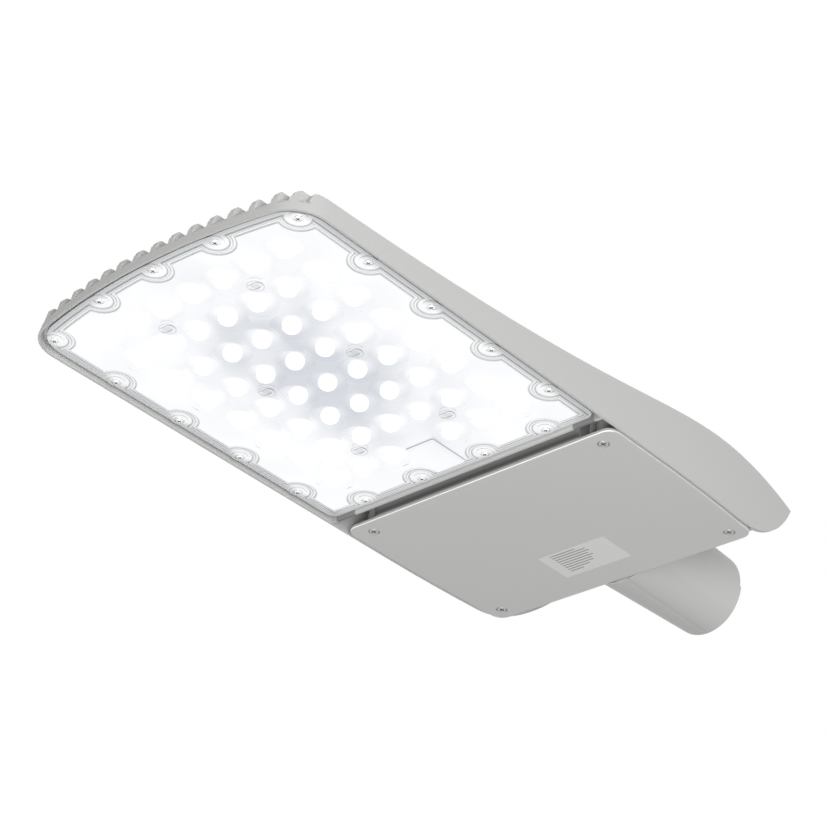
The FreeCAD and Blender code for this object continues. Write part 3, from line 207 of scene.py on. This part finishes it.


# painted shade: the slot's walls are darkened, most just above the cover's edge, and its ends darker still
def addSlotShade(material):
    tree = material.node_tree
    shader = tree.nodes["Principled BSDF"]
    place = addNode(tree, "ShaderNodeTexCoord")
    parts = addNode(tree, "ShaderNodeSeparateXYZ")
    tree.links.new(place.outputs["Object"], parts.inputs[0])
    x, z = parts.outputs["X"], parts.outputs["Z"]
    inSlot = calc(tree, "MULTIPLY", calc(tree, "GREATER_THAN", x, slotShade["rear"]),
                  calc(tree, "LESS_THAN", x, slotShade["front"] - 0.0005))
    between = calc(tree, "LESS_THAN", calc(tree, "ABSOLUTE", parts.outputs["Y"]), slotShade["side"])
    inSlot = calc(tree, "MULTIPLY", inSlot, calc(tree, "LESS_THAN", z, -0.0200))
    inSlot = calc(tree, "MULTIPLY", inSlot, between)
    shade = ramp(tree, z, slotShade["low"], slotShade["high"], slotShade["dark"], slotShade["deep"])
    shade = calc(tree, "ADD", shade, ramp(tree, z, slotShade["low"] - 0.0005, slotShade["edge"], 0.0, slotShade["rise"]))
    keep = calc(tree, "ADD", calc(tree, "SUBTRACT", 1.0, inSlot), calc(tree, "MULTIPLY", inSlot, shade))
    # both ends of the slot lie in deep shade
    side = calc(tree, "ABSOLUTE", parts.outputs["Y"])
    ahead = calc(tree, "GREATER_THAN", x, slotShade["front"])
    atEnd = ramp(tree, calc(tree, "SUBTRACT", side, calc(tree, "MULTIPLY", ahead, 0.007)), 0.1075, 0.1095)
    atEnd = calc(tree, "MULTIPLY", calc(tree, "MULTIPLY", atEnd, between), calc(tree, "LESS_THAN", z, -0.0150))
    atEnd = calc(tree, "MULTIPLY", atEnd, calc(tree, "GREATER_THAN", x, slotShade["rear"] - 0.006))
    atEnd = calc(tree, "MULTIPLY", atEnd, calc(tree, "LESS_THAN", x, slotShade["gapFront"]))
    keep = calc(tree, "MULTIPLY", keep, calc(tree, "SUBTRACT", 1.0, calc(tree, "MULTIPLY", atEnd, slotShade["ends"])))
    tone = addNode(tree, "ShaderNodeVectorMath", operation="SCALE")
    tree.links.new(shader.inputs["Base Color"].links[0].from_socket, tone.inputs[0])
    tree.links.new(keep, tone.inputs["Scale"])
    tree.links.new(tone.outputs[0], shader.inputs["Base Color"])
    # painted light: a faint glow painted into the narrow gap at the lens plate's rear edge
    inGap = calc(tree, "MULTIPLY", calc(tree, "GREATER_THAN", x, slotShade["gapRear"]),
                 calc(tree, "LESS_THAN", x, slotShade["gapFront"]))
    inGap = calc(tree, "MULTIPLY", inGap, calc(tree, "LESS_THAN", z, -0.0320))
    inGap = calc(tree, "MULTIPLY", inGap, between)
    spill = calc(tree, "MULTIPLY", inGap, slotShade["spill"])
    tree.links.new(mixColour(tree, spill, (0.0, 0.0, 0.0, 1.0), (1.0, 1.0, 1.0, 1.0)), shader.inputs["Emission Color"])
    shader.inputs["Emission Strength"].default_value = 1.0


# painted highlight: the rounded front edge of the cover is painted near white, where it catches the light of the lens
# plate
def addPaintedEdgeHighlight(material):
    tree = material.node_tree
    shader = tree.nodes["Principled BSDF"]
    place = addNode(tree, "ShaderNodeTexCoord")
    tilt = addNode(tree, "ShaderNodeSeparateXYZ")
    tree.links.new(place.outputs["Normal"], tilt.inputs[0])
    bent = calc(tree, "MULTIPLY", ramp(tree, tilt.outputs["X"], 0.45, 0.60), ramp(tree, tilt.outputs["Z"], -0.2, -0.4))
    paint = shader.inputs["Base Color"].links[0].from_socket
    tree.links.new(mixColour(tree, bent, paint, (1.0, 1.0, 1.0, 1.0)), shader.inputs["Base Color"])


castMaterial = powderMaterial("castPaint", **castPaint)
addSlotShade(castMaterial)
coverMaterial = powderMaterial("coverPaint", **coverPaint)
addPaintedEdgeHighlight(coverMaterial)
dress(["housing"], castMaterial)
dress(["driver_cover"], coverMaterial)
dress(["board_screws", "tray_screws", "gear_screws", "pole_set_screws"],
      surface("screwSteel", (0.62, 0.61, 0.59), 0.32, 1.0, 0.1, 1200.0))


# screw heads with painted shade, dark brown, in their cross recess: its walls start at the head's face
def recessedScrew(name, tone, face, bevel, deep):
    material = surface(name, (tone, tone, tone), 0.34, 0.45, 0.06, 1500.0)
    tree = material.node_tree
    shader = tree.nodes["Principled BSDF"]
    place = addNode(tree, "ShaderNodeTexCoord")
    parts = addNode(tree, "ShaderNodeSeparateXYZ")
    tree.links.new(place.outputs["Object"], parts.inputs[0])
    tilt = addNode(tree, "ShaderNodeSeparateXYZ")
    tree.links.new(place.outputs["Normal"], tilt.inputs[0])
    down = calc(tree, "LESS_THAN", tilt.outputs["Z"], -0.9)
    wall = calc(tree, "LESS_THAN", calc(tree, "ABSOLUTE", tilt.outputs["Z"]), 0.05)
    wall = calc(tree, "MULTIPLY", wall, calc(tree, "LESS_THAN", parts.outputs["Z"], (face + bevel) * mm))
    floor = calc(tree, "MULTIPLY", down, calc(tree, "GREATER_THAN", parts.outputs["Z"], (face + deep) * mm))
    # painted shade: the recess's walls and floor take a dark brown and lose their metal
    recessShade = calc(tree, "MAXIMUM", wall, floor)
    steel = shader.inputs["Base Color"].links[0].from_socket
    tree.links.new(mixColour(tree, recessShade, steel, (0.10, 0.085, 0.075, 1.0)), shader.inputs["Base Color"])
    metal = calc(tree, "MULTIPLY", calc(tree, "SUBTRACT", 1.0, recessShade), 0.45)
    tree.links.new(metal, shader.inputs["Metallic"])
    return material


dress(["lens_screws"], recessedScrew("lensScrewSteel", 0.86, -38.7, 0.65, 0.4))
dress(["cover_screws"], recessedScrew("coverScrewSteel", 0.45, -40.5, 0.58, 0.3))
dress(["lens_gasket", "cover_gasket", "cable_grommet"], surface("sealRubber", (0.03, 0.03, 0.03), 0.7))
dress(["leds_front", "leds_middle", "leds_rear"], surface("ledPhosphor", (0.93, 0.85, 0.5), 0.5))
dress(["board_connector", "terminal_block", "breather_vent"], surface("plugNylon", (0.8, 0.77, 0.7), 0.45))
dress(["gear_tray"], surface("traySteel", (0.66, 0.67, 0.68), 0.35, 1.0))
dress(["led_driver"], surface("driverCase", (0.72, 0.73, 0.74), 0.38, 1.0))
dress(["surge_protector"], surface("protectorCase", (0.04, 0.04, 0.045), 0.5))

# lens plate: clear moulding lit from behind, brightest over the LEDs
glow = {
    "ledFront": 0.628, "ledRowPitch": 0.0355, "ledColumnPitch": 0.03136, "lastRow": 7.0, "lastColumn": 3.0,
    "spot": 0.0074, "spotSoft": 0.0012, "haloInner": 0.0060, "haloOuter": 0.0165,
    "lines": ((-0.0004, 0.0011, 0.40), (-0.0030, 0.0010, 0.32), (-0.0052, 0.0010, 0.50)),
    "padFront": 0.6095, "padPitch": 0.1045, "padSide": 0.0465,
    "edgeSide": 0.1295, "edgeSoft": 0.0016, "frontCentre": 0.0392, "frontRadius": 0.6247, "rear": 0.3428,
    "screwClear": 0.0157, "sideScrewY": 0.13295, "sideScrewFirst": 0.583, "sideScrewPitch": 0.0668,
    "screws": ((0.6495, 0.1284), (0.6641, 0.0612), (0.66715, 0.0), (0.3407, 0.0334), (0.3407, 0.0954)),
    "middle": (0.500, 0.0), "middleReach": (0.190, 0.120),
    "lipSide": 0.145, "lipFront": 0.640, "lipRear": 0.3324, "rearBoost": 0.006, "leakStart": 0.006, "leakEnd": 0.0165,
}


def distance(tree, dx, dy):
    squares = calc(tree, "ADD", calc(tree, "MULTIPLY", dx, dx), calc(tree, "MULTIPLY", dy, dy))
    return calc(tree, "SQRT", squares)


lensFinish = {
    "base": (0.62, 0.63, 0.64, 1.0), "litBase": (0.06, 0.06, 0.065, 1.0), "roughness": 0.20,
    "middleGrey": (0.565, 0.590, 0.630, 1.0), "outerGrey": (0.880, 0.885, 0.900, 1.0),
    "arc": 0.30, "leak": 0.40, "halo": 0.55, "pad": 0.22, "step": 0.60, "clear": 0.90,
}


# masks of the lit field: round spots, their halo, the lit area, the middle of the plate, arcs under the domes
def makeGlowGroup():
    group, given, result = newGroup("ledGlow", [("Spot", "NodeSocketFloat", glow["spot"])], [
        ("Spots", "NodeSocketFloat"), ("Halo", "NodeSocketFloat"), ("Lit", "NodeSocketFloat"),
        ("Middle", "NodeSocketFloat"), ("Arcs", "NodeSocketFloat"), ("Leak", "NodeSocketFloat"),
        ("Pads", "NodeSocketFloat"), ("Steep", "NodeSocketFloat"), ("Lines", "NodeSocketFloat"),
        ("Clear", "NodeSocketFloat"), ("Haze", "NodeSocketColor"),
    ])
    links = group.links
    place = addNode(group, "ShaderNodeTexCoord")
    parts = addNode(group, "ShaderNodeSeparateXYZ")
    links.new(place.outputs["Object"], parts.inputs[0])
    x, y = parts.outputs["X"], parts.outputs["Y"]
    side = calc(group, "ABSOLUTE", y)
    row = calc(group, "DIVIDE", calc(group, "SUBTRACT", glow["ledFront"], x), glow["ledRowPitch"])
    column = calc(group, "DIVIDE", y, glow["ledColumnPitch"])
    rowNear = calc(group, "MINIMUM", calc(group, "MAXIMUM", calc(group, "ROUND", row), 0.0), glow["lastRow"])
    columnNear = calc(group, "MAXIMUM", calc(group, "ROUND", column), -glow["lastColumn"])
    columnNear = calc(group, "MINIMUM", columnNear, glow["lastColumn"])
    dx = calc(group, "MULTIPLY", calc(group, "SUBTRACT", rowNear, row), glow["ledRowPitch"])
    dy = calc(group, "MULTIPLY", calc(group, "SUBTRACT", column, columnNear), glow["ledColumnPitch"])
    reach = distance(group, dx, dy)
    # no lamp under the connector box
    lastRow = calc(group, "GREATER_THAN", rowNear, glow["lastRow"] - 0.5)
    midColumn = calc(group, "LESS_THAN", calc(group, "ABSOLUTE", columnNear), 0.5)
    lamp = calc(group, "SUBTRACT", 1.0, calc(group, "MULTIPLY", lastRow, midColumn))
    inner = calc(group, "SUBTRACT", reach, given.outputs["Spot"])
    spots = calc(group, "MULTIPLY", ramp(group, inner, glow["spotSoft"], -glow["spotSoft"]), lamp)
    halo = calc(group, "MULTIPLY", ramp(group, reach, glow["haloOuter"], glow["haloInner"]), lamp)
    links.new(spots, result.inputs["Spots"])
    links.new(halo, result.inputs["Halo"])
    # painted shade: a faint dark arc at one side of each dome
    ring = calc(group, "MULTIPLY", ramp(group, reach, 0.0081, 0.0087), ramp(group, reach, 0.0097, 0.0090))
    facing = calc(group, "ADD", calc(group, "MULTIPLY", dx, -0.34), calc(group, "MULTIPLY", dy, -0.94))
    facing = calc(group, "DIVIDE", facing, calc(group, "MAXIMUM", reach, 0.0001))
    arcs = calc(group, "MULTIPLY", ring, ramp(group, facing, 0.45, 0.95))
    links.new(calc(group, "MULTIPLY", arcs, lamp), result.inputs["Arcs"])
    # round pads over the board screws, a ring and the screw seen through it
    padRow = calc(group, "DIVIDE", calc(group, "SUBTRACT", glow["padFront"], x), glow["padPitch"])
    padNear = calc(group, "MINIMUM", calc(group, "MAXIMUM", calc(group, "ROUND", padRow), 0.0), 2.0)
    px = calc(group, "MULTIPLY", calc(group, "SUBTRACT", padRow, padNear), glow["padPitch"])
    padReach = distance(group, px, calc(group, "SUBTRACT", side, glow["padSide"]))
    padRing = calc(group, "MULTIPLY", ramp(group, padReach, 0.0054, 0.0062), ramp(group, padReach, 0.0074, 0.0066))
    padScrew = calc(group, "MULTIPLY", ramp(group, padReach, 0.0042, 0.0032), 0.9)
    links.new(calc(group, "MAXIMUM", padRing, padScrew), result.inputs["Pads"])
    # painted shade on the steep walls of the moulding
    tilt = addNode(group, "ShaderNodeSeparateXYZ")
    links.new(place.outputs["Normal"], tilt.inputs[0])
    links.new(ramp(group, calc(group, "ABSOLUTE", tilt.outputs["Z"]), 0.75, 0.35), result.inputs["Steep"])
    # painted light: the glow is dimmer in the middle of the plate
    mx = calc(group, "DIVIDE", calc(group, "SUBTRACT", x, glow["middle"][0]), glow["middleReach"][0])
    my = calc(group, "DIVIDE", y, glow["middleReach"][1])
    middle = ramp(group, distance(group, mx, my), 1.0, 0.15)
    links.new(middle, result.inputs["Middle"])
    # painted glow: a haze of light between the lamps, lifted towards white in each lamp's halo
    haze = addNode(group, "ShaderNodeTexNoise", {"Scale": 22.0, "Detail": 1.0})
    links.new(place.outputs["Object"], haze.inputs["Vector"])
    cloud = ramp(group, haze.outputs["Fac"], 0.34, 0.66)
    grey = calc(group, "ADD", calc(group, "MULTIPLY", cloud, 0.55), calc(group, "MULTIPLY", middle, 0.65))
    grey = calc(group, "MULTIPLY", grey, calc(group, "ADD", calc(group, "MULTIPLY", middle, 0.75), 0.25), clamp=True)
    between = mixColour(group, grey, lensFinish["outerGrey"], lensFinish["middleGrey"])
    outer = calc(group, "SUBTRACT", 1.0, middle)
    strength = calc(group, "ADD", calc(group, "MULTIPLY", cloud, -0.30), lensFinish["halo"])
    strength = calc(group, "ADD", strength, calc(group, "MULTIPLY", outer, 0.45), clamp=True)
    lift = calc(group, "MULTIPLY", halo, strength)
    links.new(mixColour(group, lift, between, (1.0, 1.0, 1.0, 1.0)), result.inputs["Haze"])
    # see-through round each lamp, away from the pads and arcs
    clear = calc(group, "MULTIPLY", ramp(group, reach, 0.0175, 0.0150), lamp)
    clear = calc(group, "MULTIPLY", clear, ramp(group, padReach, 0.0078, 0.0084))
    links.new(calc(group, "MULTIPLY", clear, calc(group, "SUBTRACT", 1.0, arcs)), result.inputs["Clear"])

    # the lit area stops at the ridge and round the screws
    soft = glow["edgeSoft"]
    fx = calc(group, "SUBTRACT", x, glow["frontCentre"])
    edges = [(side, glow["edgeSide"], -1.0), (distance(group, fx, y), glow["frontRadius"], -1.0),
             (x, glow["rear"], 1.0)]
    sideRow = calc(group, "DIVIDE", calc(group, "SUBTRACT", glow["sideScrewFirst"], x), glow["sideScrewPitch"])
    sideNear = calc(group, "MINIMUM", calc(group, "MAXIMUM", calc(group, "ROUND", sideRow), 0.0), 3.0)
    sideShift = calc(group, "MULTIPLY", calc(group, "SUBTRACT", sideRow, sideNear), glow["sideScrewPitch"])
    screws = [(sideShift, calc(group, "SUBTRACT", side, glow["sideScrewY"]))]
    for px, py in glow["screws"]:
        screws.append((calc(group, "SUBTRACT", x, px), calc(group, "SUBTRACT", side, py)))
    edges += [(distance(group, px, py), glow["screwClear"], 1.0) for px, py in screws]
    inside = None
    for value, edge, way in edges:
        gap = calc(group, "MULTIPLY", calc(group, "SUBTRACT", value, edge), way)
        inside = gap if inside is None else calc(group, "MINIMUM", inside, gap)
    links.new(ramp(group, inside, 0.0, soft), result.inputs["Lit"])
    # painted shade: grey lines where the moulding steps down beside its ridge
    lines = None
    for centre, half, depth in glow["lines"]:
        away = calc(group, "ABSOLUTE", calc(group, "SUBTRACT", inside, centre))
        band = calc(group, "MULTIPLY", ramp(group, away, half, half * 0.3), depth)
        lines = band if lines is None else calc(group, "MAXIMUM", lines, band)
    links.new(lines, result.inputs["Lines"])
    # painted light: the glow leaks past the ridge onto the flange, fading out towards the lip and weaker at the rear
    # corners
    sideInset = calc(group, "SUBTRACT", glow["lipSide"], side)
    frontInset = calc(group, "SUBTRACT", glow["lipFront"], distance(group, fx, y))
    rearInset = calc(group, "ADD", calc(group, "SUBTRACT", x, glow["lipRear"]), glow["rearBoost"])
    inset = calc(group, "MINIMUM", calc(group, "MINIMUM", sideInset, frontInset), rearInset)
    leak = ramp(group, inset, glow["leakStart"], glow["leakEnd"])
    corner = distance(group, calc(group, "SUBTRACT", x, 0.335), calc(group, "SUBTRACT", side, 0.1385))
    leak = calc(group, "MULTIPLY", leak, ramp(group, corner, 0.006, 0.020, 0.30, 1.0))
    links.new(leak, result.inputs["Leak"])
    return group


def makeLensMaterial():
    group = makeGlowGroup()
    material, tree, shader = newMaterial("lensPlate", {
        "Roughness": lensFinish["roughness"], "Specular IOR Level": 0.5, "Base Color": lensFinish["base"],
        "Emission Strength": 1.0,
    })
    masks = useGroup(tree, group).outputs
    white = (1.0, 1.0, 1.0, 1.0)
    black = (0.0, 0.0, 0.0, 1.0)
    lit = mixColour(tree, masks["Spots"], masks["Haze"], white)
    # painted shade: the dark arcs at the domes
    lit = mixColour(tree, calc(tree, "MULTIPLY", masks["Arcs"], lensFinish["arc"]), lit, black)
    lit = mixColour(tree, calc(tree, "MULTIPLY", masks["Pads"], lensFinish["pad"]), lit, black)
    # painted light leaking onto the flange outside the lit area
    leak = calc(tree, "MULTIPLY", masks["Leak"], lensFinish["leak"])
    dim = mixColour(tree, leak, black, white)
    glowing = mixColour(tree, masks["Lit"], dim, lit)
    away = calc(tree, "SUBTRACT", 1.0, masks["Clear"])
    # painted shade: steep walls and the lines beside the ridge darken both glow and base colour
    step = calc(tree, "MULTIPLY", calc(tree, "MULTIPLY", masks["Steep"], lensFinish["step"]), away)
    step = calc(tree, "MAXIMUM", step, masks["Lines"])
    glowing = mixColour(tree, step, glowing, black)
    tree.links.new(glowing, shader.inputs["Emission Color"])
    body = mixColour(tree, masks["Lit"], lensFinish["base"], lensFinish["litBase"])
    body = mixColour(tree, step, body, (0.12, 0.125, 0.13, 1.0))
    tree.links.new(body, shader.inputs["Base Color"])
    seen = calc(tree, "MULTIPLY", calc(tree, "MULTIPLY", masks["Clear"], masks["Lit"]), lensFinish["clear"])
    tree.links.new(calc(tree, "SUBTRACT", 1.0, seen), shader.inputs["Alpha"])
    return material


# painted glow: the haze of light between the lamps, for the LED boards and the sheets over them
def makeHazeMaterial():
    material, tree, shader = newMaterial("boardGlow", {"Base Color": (0.06, 0.06, 0.065, 1.0), "Roughness": 0.6,
                                                        "Emission Strength": 1.0})
    masks = useGroup(tree, bpy.data.node_groups["ledGlow"]).outputs
    tree.links.new(masks["Haze"], shader.inputs["Emission Color"])
    return material


dress(["lens_plate"], makeLensMaterial())
hazeMaterial = makeHazeMaterial()
dress(["led_board_front", "led_board_middle", "led_board_rear"], hazeMaterial)
print("materials made")

# rating label left bare of words: a white sticker with plain grey bars
label = {"x": (150.0, 189.0), "y": (-37.0, 32.0), "face": -40.5, "thick": 0.12, "corner": 1.5}


def finishPiece(name, mesh, material):
    data = bpy.data.meshes.new(name)
    mesh.to_mesh(data)
    mesh.free()
    data.materials.append(material)
    piece = bpy.data.objects.new(name, data)
    bpy.context.collection.objects.link(piece)
    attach(piece, "root")
    return piece


def flatPlate(low, high, zLow, zHigh, corner):
    mesh = bmesh.new()
    bmesh.ops.create_cube(mesh, size=1.0)
    centre = Vector(((low[0] + high[0]) / 2, (low[1] + high[1]) / 2, (zLow + zHigh) / 2))
    spread = Vector((high[0] - low[0], high[1] - low[1], zHigh - zLow))
    bmesh.ops.scale(mesh, vec=spread * mm, verts=mesh.verts)
    bmesh.ops.translate(mesh, vec=centre * mm, verts=mesh.verts)
    if corner:
        uprights = [e for e in mesh.edges if abs(e.verts[0].co.z - e.verts[1].co.z) > 1e-6]
        bmesh.ops.bevel(mesh, geom=uprights, offset=corner * mm, segments=5, affect="EDGES", profile=0.5, material=-1)
    return mesh


def addMesh(whole, part):
    data = bpy.data.meshes.new("part")
    part.to_mesh(data)
    part.free()
    whole.from_mesh(data)
    bpy.data.meshes.remove(data)


# glowing ball over each LED, seen through the clear plate, and sheets over the boards behind them that glow with a
# painted haze of light
ledLens = {"width": 7.35, "height": 6.7, "centre": -36.0, "rings": 12, "around": 24}
hazeSheets = [
    ((345.0, -127.0), (651.0, 127.0), (-31.50, -31.40)),
    ((345.0, -127.0), (651.0, -106.0), (-33.00, -32.90)),
    ((345.0, 106.0), (651.0, 127.0), (-33.00, -32.90)),
    ((345.0, -106.0), (366.0, 106.0), (-33.00, -32.90)),
]


def makeLedLenses():
    material, tree, shader = newMaterial("ledLensGlow", {
        "Base Color": (0.25, 0.25, 0.26, 1.0), "Roughness": 0.25, "Emission Strength": 1.0,
    })
    place = addNode(tree, "ShaderNodeTexCoord")
    grain = addNode(tree, "ShaderNodeTexNoise", {"Scale": 260.0, "Detail": 2.0})
    tree.links.new(place.outputs["Object"], grain.inputs["Vector"])
    faint = ramp(tree, grain.outputs["Fac"], 0.35, 0.65)
    tree.links.new(mixColour(tree, faint, (0.94, 0.95, 0.97, 1.0), (1.0, 1.0, 1.0, 1.0)), shader.inputs["Emission Color"])
    single = bmesh.new()
    bmesh.ops.create_uvsphere(single, u_segments=ledLens["around"], v_segments=ledLens["rings"], radius=1.0)
    spread = Vector((ledLens["width"], ledLens["width"], ledLens["height"]))
    bmesh.ops.scale(single, vec=spread * mm, verts=single.verts)
    ball = bpy.data.meshes.new("ledBall")
    single.to_mesh(ball)
    single.free()
    lenses = bmesh.new()
    for row in range(8):
        for column in range(-3, 4):
            if row == 7 and column == 0:
                continue
            before = len(lenses.verts)
            lenses.from_mesh(ball)
            lenses.verts.ensure_lookup_table()
            x = glow["ledFront"] - row * glow["ledRowPitch"]
            y = column * glow["ledColumnPitch"]
            bmesh.ops.translate(lenses, vec=(x, y, ledLens["centre"] * mm), verts=lenses.verts[before:])
    bpy.data.meshes.remove(ball)
    for face in lenses.faces:
        face.smooth = True
    finishPiece("ledLenses", lenses, material)
    haze = bmesh.new()
    for low, high, level in hazeSheets:
        addMesh(haze, flatPlate(low, high, level[0], level[1], 0.0))
    finishPiece("boardHaze", haze, hazeMaterial)


# rounding of the socket's underside between its two flats, with painted shade: a dark line along the mould line and a
# faint darkening over the flat beside it
socketBelly = {"mouth": 37.35, "mouthDrop": 39.9, "end": 42.55, "endDrop": 42.8, "front": 121.3, "rear": 0.6,
               "reach": 84.0, "steps": 28, "wall": 1.2}


def makeSocketBelly():
    material = powderMaterial("socketPaint", **castPaint)
    tree = material.node_tree
    shader = tree.nodes["Principled BSDF"]
    place = addNode(tree, "ShaderNodeTexCoord")
    parts = addNode(tree, "ShaderNodeSeparateXYZ")
    tree.links.new(place.outputs["Object"], parts.inputs[0])
    y, z = parts.outputs["Y"], parts.outputs["Z"]
    # painted shade: the dark line and a faint darkening over the flat
    turn = calc(tree, "ARCTAN2", y, calc(tree, "MULTIPLY", z, -1.0))
    along = calc(tree, "MULTIPLY", parts.outputs["X"], 1.0 / (socketBelly["front"] * mm))
    line = calc(tree, "ADD", calc(tree, "MULTIPLY", along, 0.11), 0.05)
    away = calc(tree, "ABSOLUTE", calc(tree, "SUBTRACT", turn, line))
    flat = calc(tree, "MULTIPLY", ramp(tree, turn, 0.05, 0.12), ramp(tree, turn, 0.86, 0.80))
    shade = calc(tree, "MULTIPLY", ramp(tree, away, 0.05, 0.015), 0.12)
    shade = calc(tree, "MAXIMUM", shade, calc(tree, "MULTIPLY", flat, 0.04))
    paint = shader.inputs["Base Color"].links[0].from_socket
    tree.links.new(mixColour(tree, shade, paint, (0.10, 0.10, 0.10, 1.0)), shader.inputs["Base Color"])
    belly = bmesh.new()
    first = belly.verts.new((socketBelly["rear"] * mm, 0.0, -socketBelly["mouth"] * mm))
    half = math.radians(socketBelly["reach"])
    bmesh.ops.rotate(belly, verts=[first], cent=(0, 0, 0), matrix=Matrix.Rotation(-half, 3, "X"))
    bmesh.ops.spin(belly, geom=[first], cent=(0, 0, 0), axis=(1, 0, 0), angle=2 * half, steps=socketBelly["steps"])
    edges = list(belly.edges)
    drawn = bmesh.ops.extrude_edge_only(belly, edges=edges)
    ahead = [v for v in drawn["geom"] if isinstance(v, bmesh.types.BMVert)]
    behind = [v for v in belly.verts if v not in ahead]
    drop = socketBelly["mouthDrop"] / socketBelly["mouth"]
    bmesh.ops.scale(belly, vec=(1.0, 1.0, drop), verts=behind)
    grow = socketBelly["end"] / socketBelly["mouth"]
    bmesh.ops.scale(belly, vec=(1.0, grow, socketBelly["endDrop"] / socketBelly["mouth"]), verts=ahead)
    bmesh.ops.translate(belly, vec=((socketBelly["front"] - socketBelly["rear"]) * mm, 0.0, 0.0), verts=ahead)
    bmesh.ops.recalc_face_normals(belly, faces=belly.faces)
    outward = sum((f.normal.z for f in belly.faces))
    if outward > 0.0:
        bmesh.ops.reverse_faces(belly, faces=belly.faces)
    bmesh.ops.solidify(belly, geom=belly.faces[:], thickness=socketBelly["wall"] * mm)
    for face in belly.faces:
        face.smooth = True
    belly.normal_update()
    for edge in belly.edges:
        edge.smooth = len(edge.link_faces) == 2 and edge.calc_face_angle() < 0.6
    finishPiece("socketBelly", belly, material)


bars = {"top": 186.2, "pitch": 3.55, "rows": 9, "deep": 1.15, "left": -27.0, "rise": 0.03,
        "right": (-1.0, 7.5, 9.0, 5.5, 8.0, 4.0, 3.0, -4.0, -13.0)}


def makeLabel():
    z = label["face"]
    paper = surface("labelPaper", (0.68, 0.68, 0.67), 0.45, speckle=0.01)
    ink = surface("labelBars", (0.22, 0.22, 0.225), 0.5, speckle=0.02)
    plate = flatPlate((label["x"][0], label["y"][0]), (label["x"][1], label["y"][1]), z - label["thick"], z, label["corner"])
    finishPiece("labelPlate", plate, paper)
    # thin grey bars stand in for the lines of print
    printed = bmesh.new()
    zLow = z - label["thick"] - bars["rise"]
    for row in range(bars["rows"]):
        top = bars["top"] - row * bars["pitch"]
        bar = flatPlate((top - bars["deep"], bars["left"]), (top, bars["right"][row]), zLow, z - label["thick"], 0.0)
        addMesh(printed, bar)
    finishPiece("labelBars", printed, ink)


makeLabel()
makeLedLenses()
makeSocketBelly()
print("label, LED lenses and socket belly made")

# floor far below, white surroundings
stage = {"floor": -3.2, "reach": 14.0}
floorMesh = bmesh.new()
bmesh.ops.create_grid(floorMesh, x_segments=1, y_segments=1, size=stage["reach"])
bmesh.ops.translate(floorMesh, vec=(0.3, 0.0, stage["floor"]), verts=floorMesh.verts)
floorData = bpy.data.meshes.new("floor")
floorMesh.to_mesh(floorData)
floorMesh.free()
floor = bpy.data.objects.new("floor", floorData)
bpy.context.collection.objects.link(floor)
floorMaterial, floorTree, floorShader = newMaterial("floorPaint", {
    "Base Color": (0.85, 0.85, 0.85, 1.0), "Roughness": 0.9, "Emission Strength": 1.0,
})
floorData.materials.append(floorMaterial)


# rays that see the background rather than light the head
def backgroundRays(tree):
    path = addNode(tree, "ShaderNodeLightPath")
    shiny = calc(tree, "MAXIMUM", path.outputs["Is Glossy Ray"], path.outputs["Is Transmission Ray"])
    return calc(tree, "MAXIMUM", path.outputs["Is Camera Ray"], shiny)


pale = mixColour(floorTree, backgroundRays(floorTree), (0.0, 0.0, 0.0, 1.0), (0.70, 0.70, 0.70, 1.0))
floorTree.links.new(pale, floorShader.inputs["Emission Color"])

world = bpy.data.worlds.new("studio")
bpy.context.scene.world = world
world.use_nodes = True
worldTree = world.node_tree
background = worldTree.nodes["Background"]
seen = backgroundRays(worldTree)
heading = addNode(worldTree, "ShaderNodeTexCoord")
slant = addNode(worldTree, "ShaderNodeSeparateXYZ")
worldTree.links.new(heading.outputs["Generated"], slant.inputs[0])
upward = ramp(worldTree, slant.outputs["Z"], -0.15, 0.35)
sky = mixColour(worldTree, upward, (0.88, 0.88, 0.875, 1.0), (0.34, 0.34, 0.34, 1.0))
worldTree.links.new(mixColour(worldTree, seen, sky, (1.0, 1.0, 1.0, 1.0)), background.inputs["Color"])

lamps = {
    "key": {"place": (1.3, 2.1, -0.6), "size": 1.4, "power": 31.0},
    "under": {"place": (1.45, 0.85, -1.35), "size": 0.9, "power": 18.0},
    "top": {"place": (0.2, 0.6, 2.0), "size": 2.0, "power": 4.0},
}
for name, setup in lamps.items():
    data = bpy.data.lights.new(name, "AREA")
    data.size = setup["size"]
    data.energy = setup["power"]
    lamp = bpy.data.objects.new(name, data)
    lamp.location = setup["place"]
    aim = Vector((0.35, 0.0, 0.0)) - Vector(setup["place"])
    lamp.rotation_euler = aim.to_track_quat("-Z", "Y").to_euler()
    bpy.context.collection.objects.link(lamp)
print("stage lit")
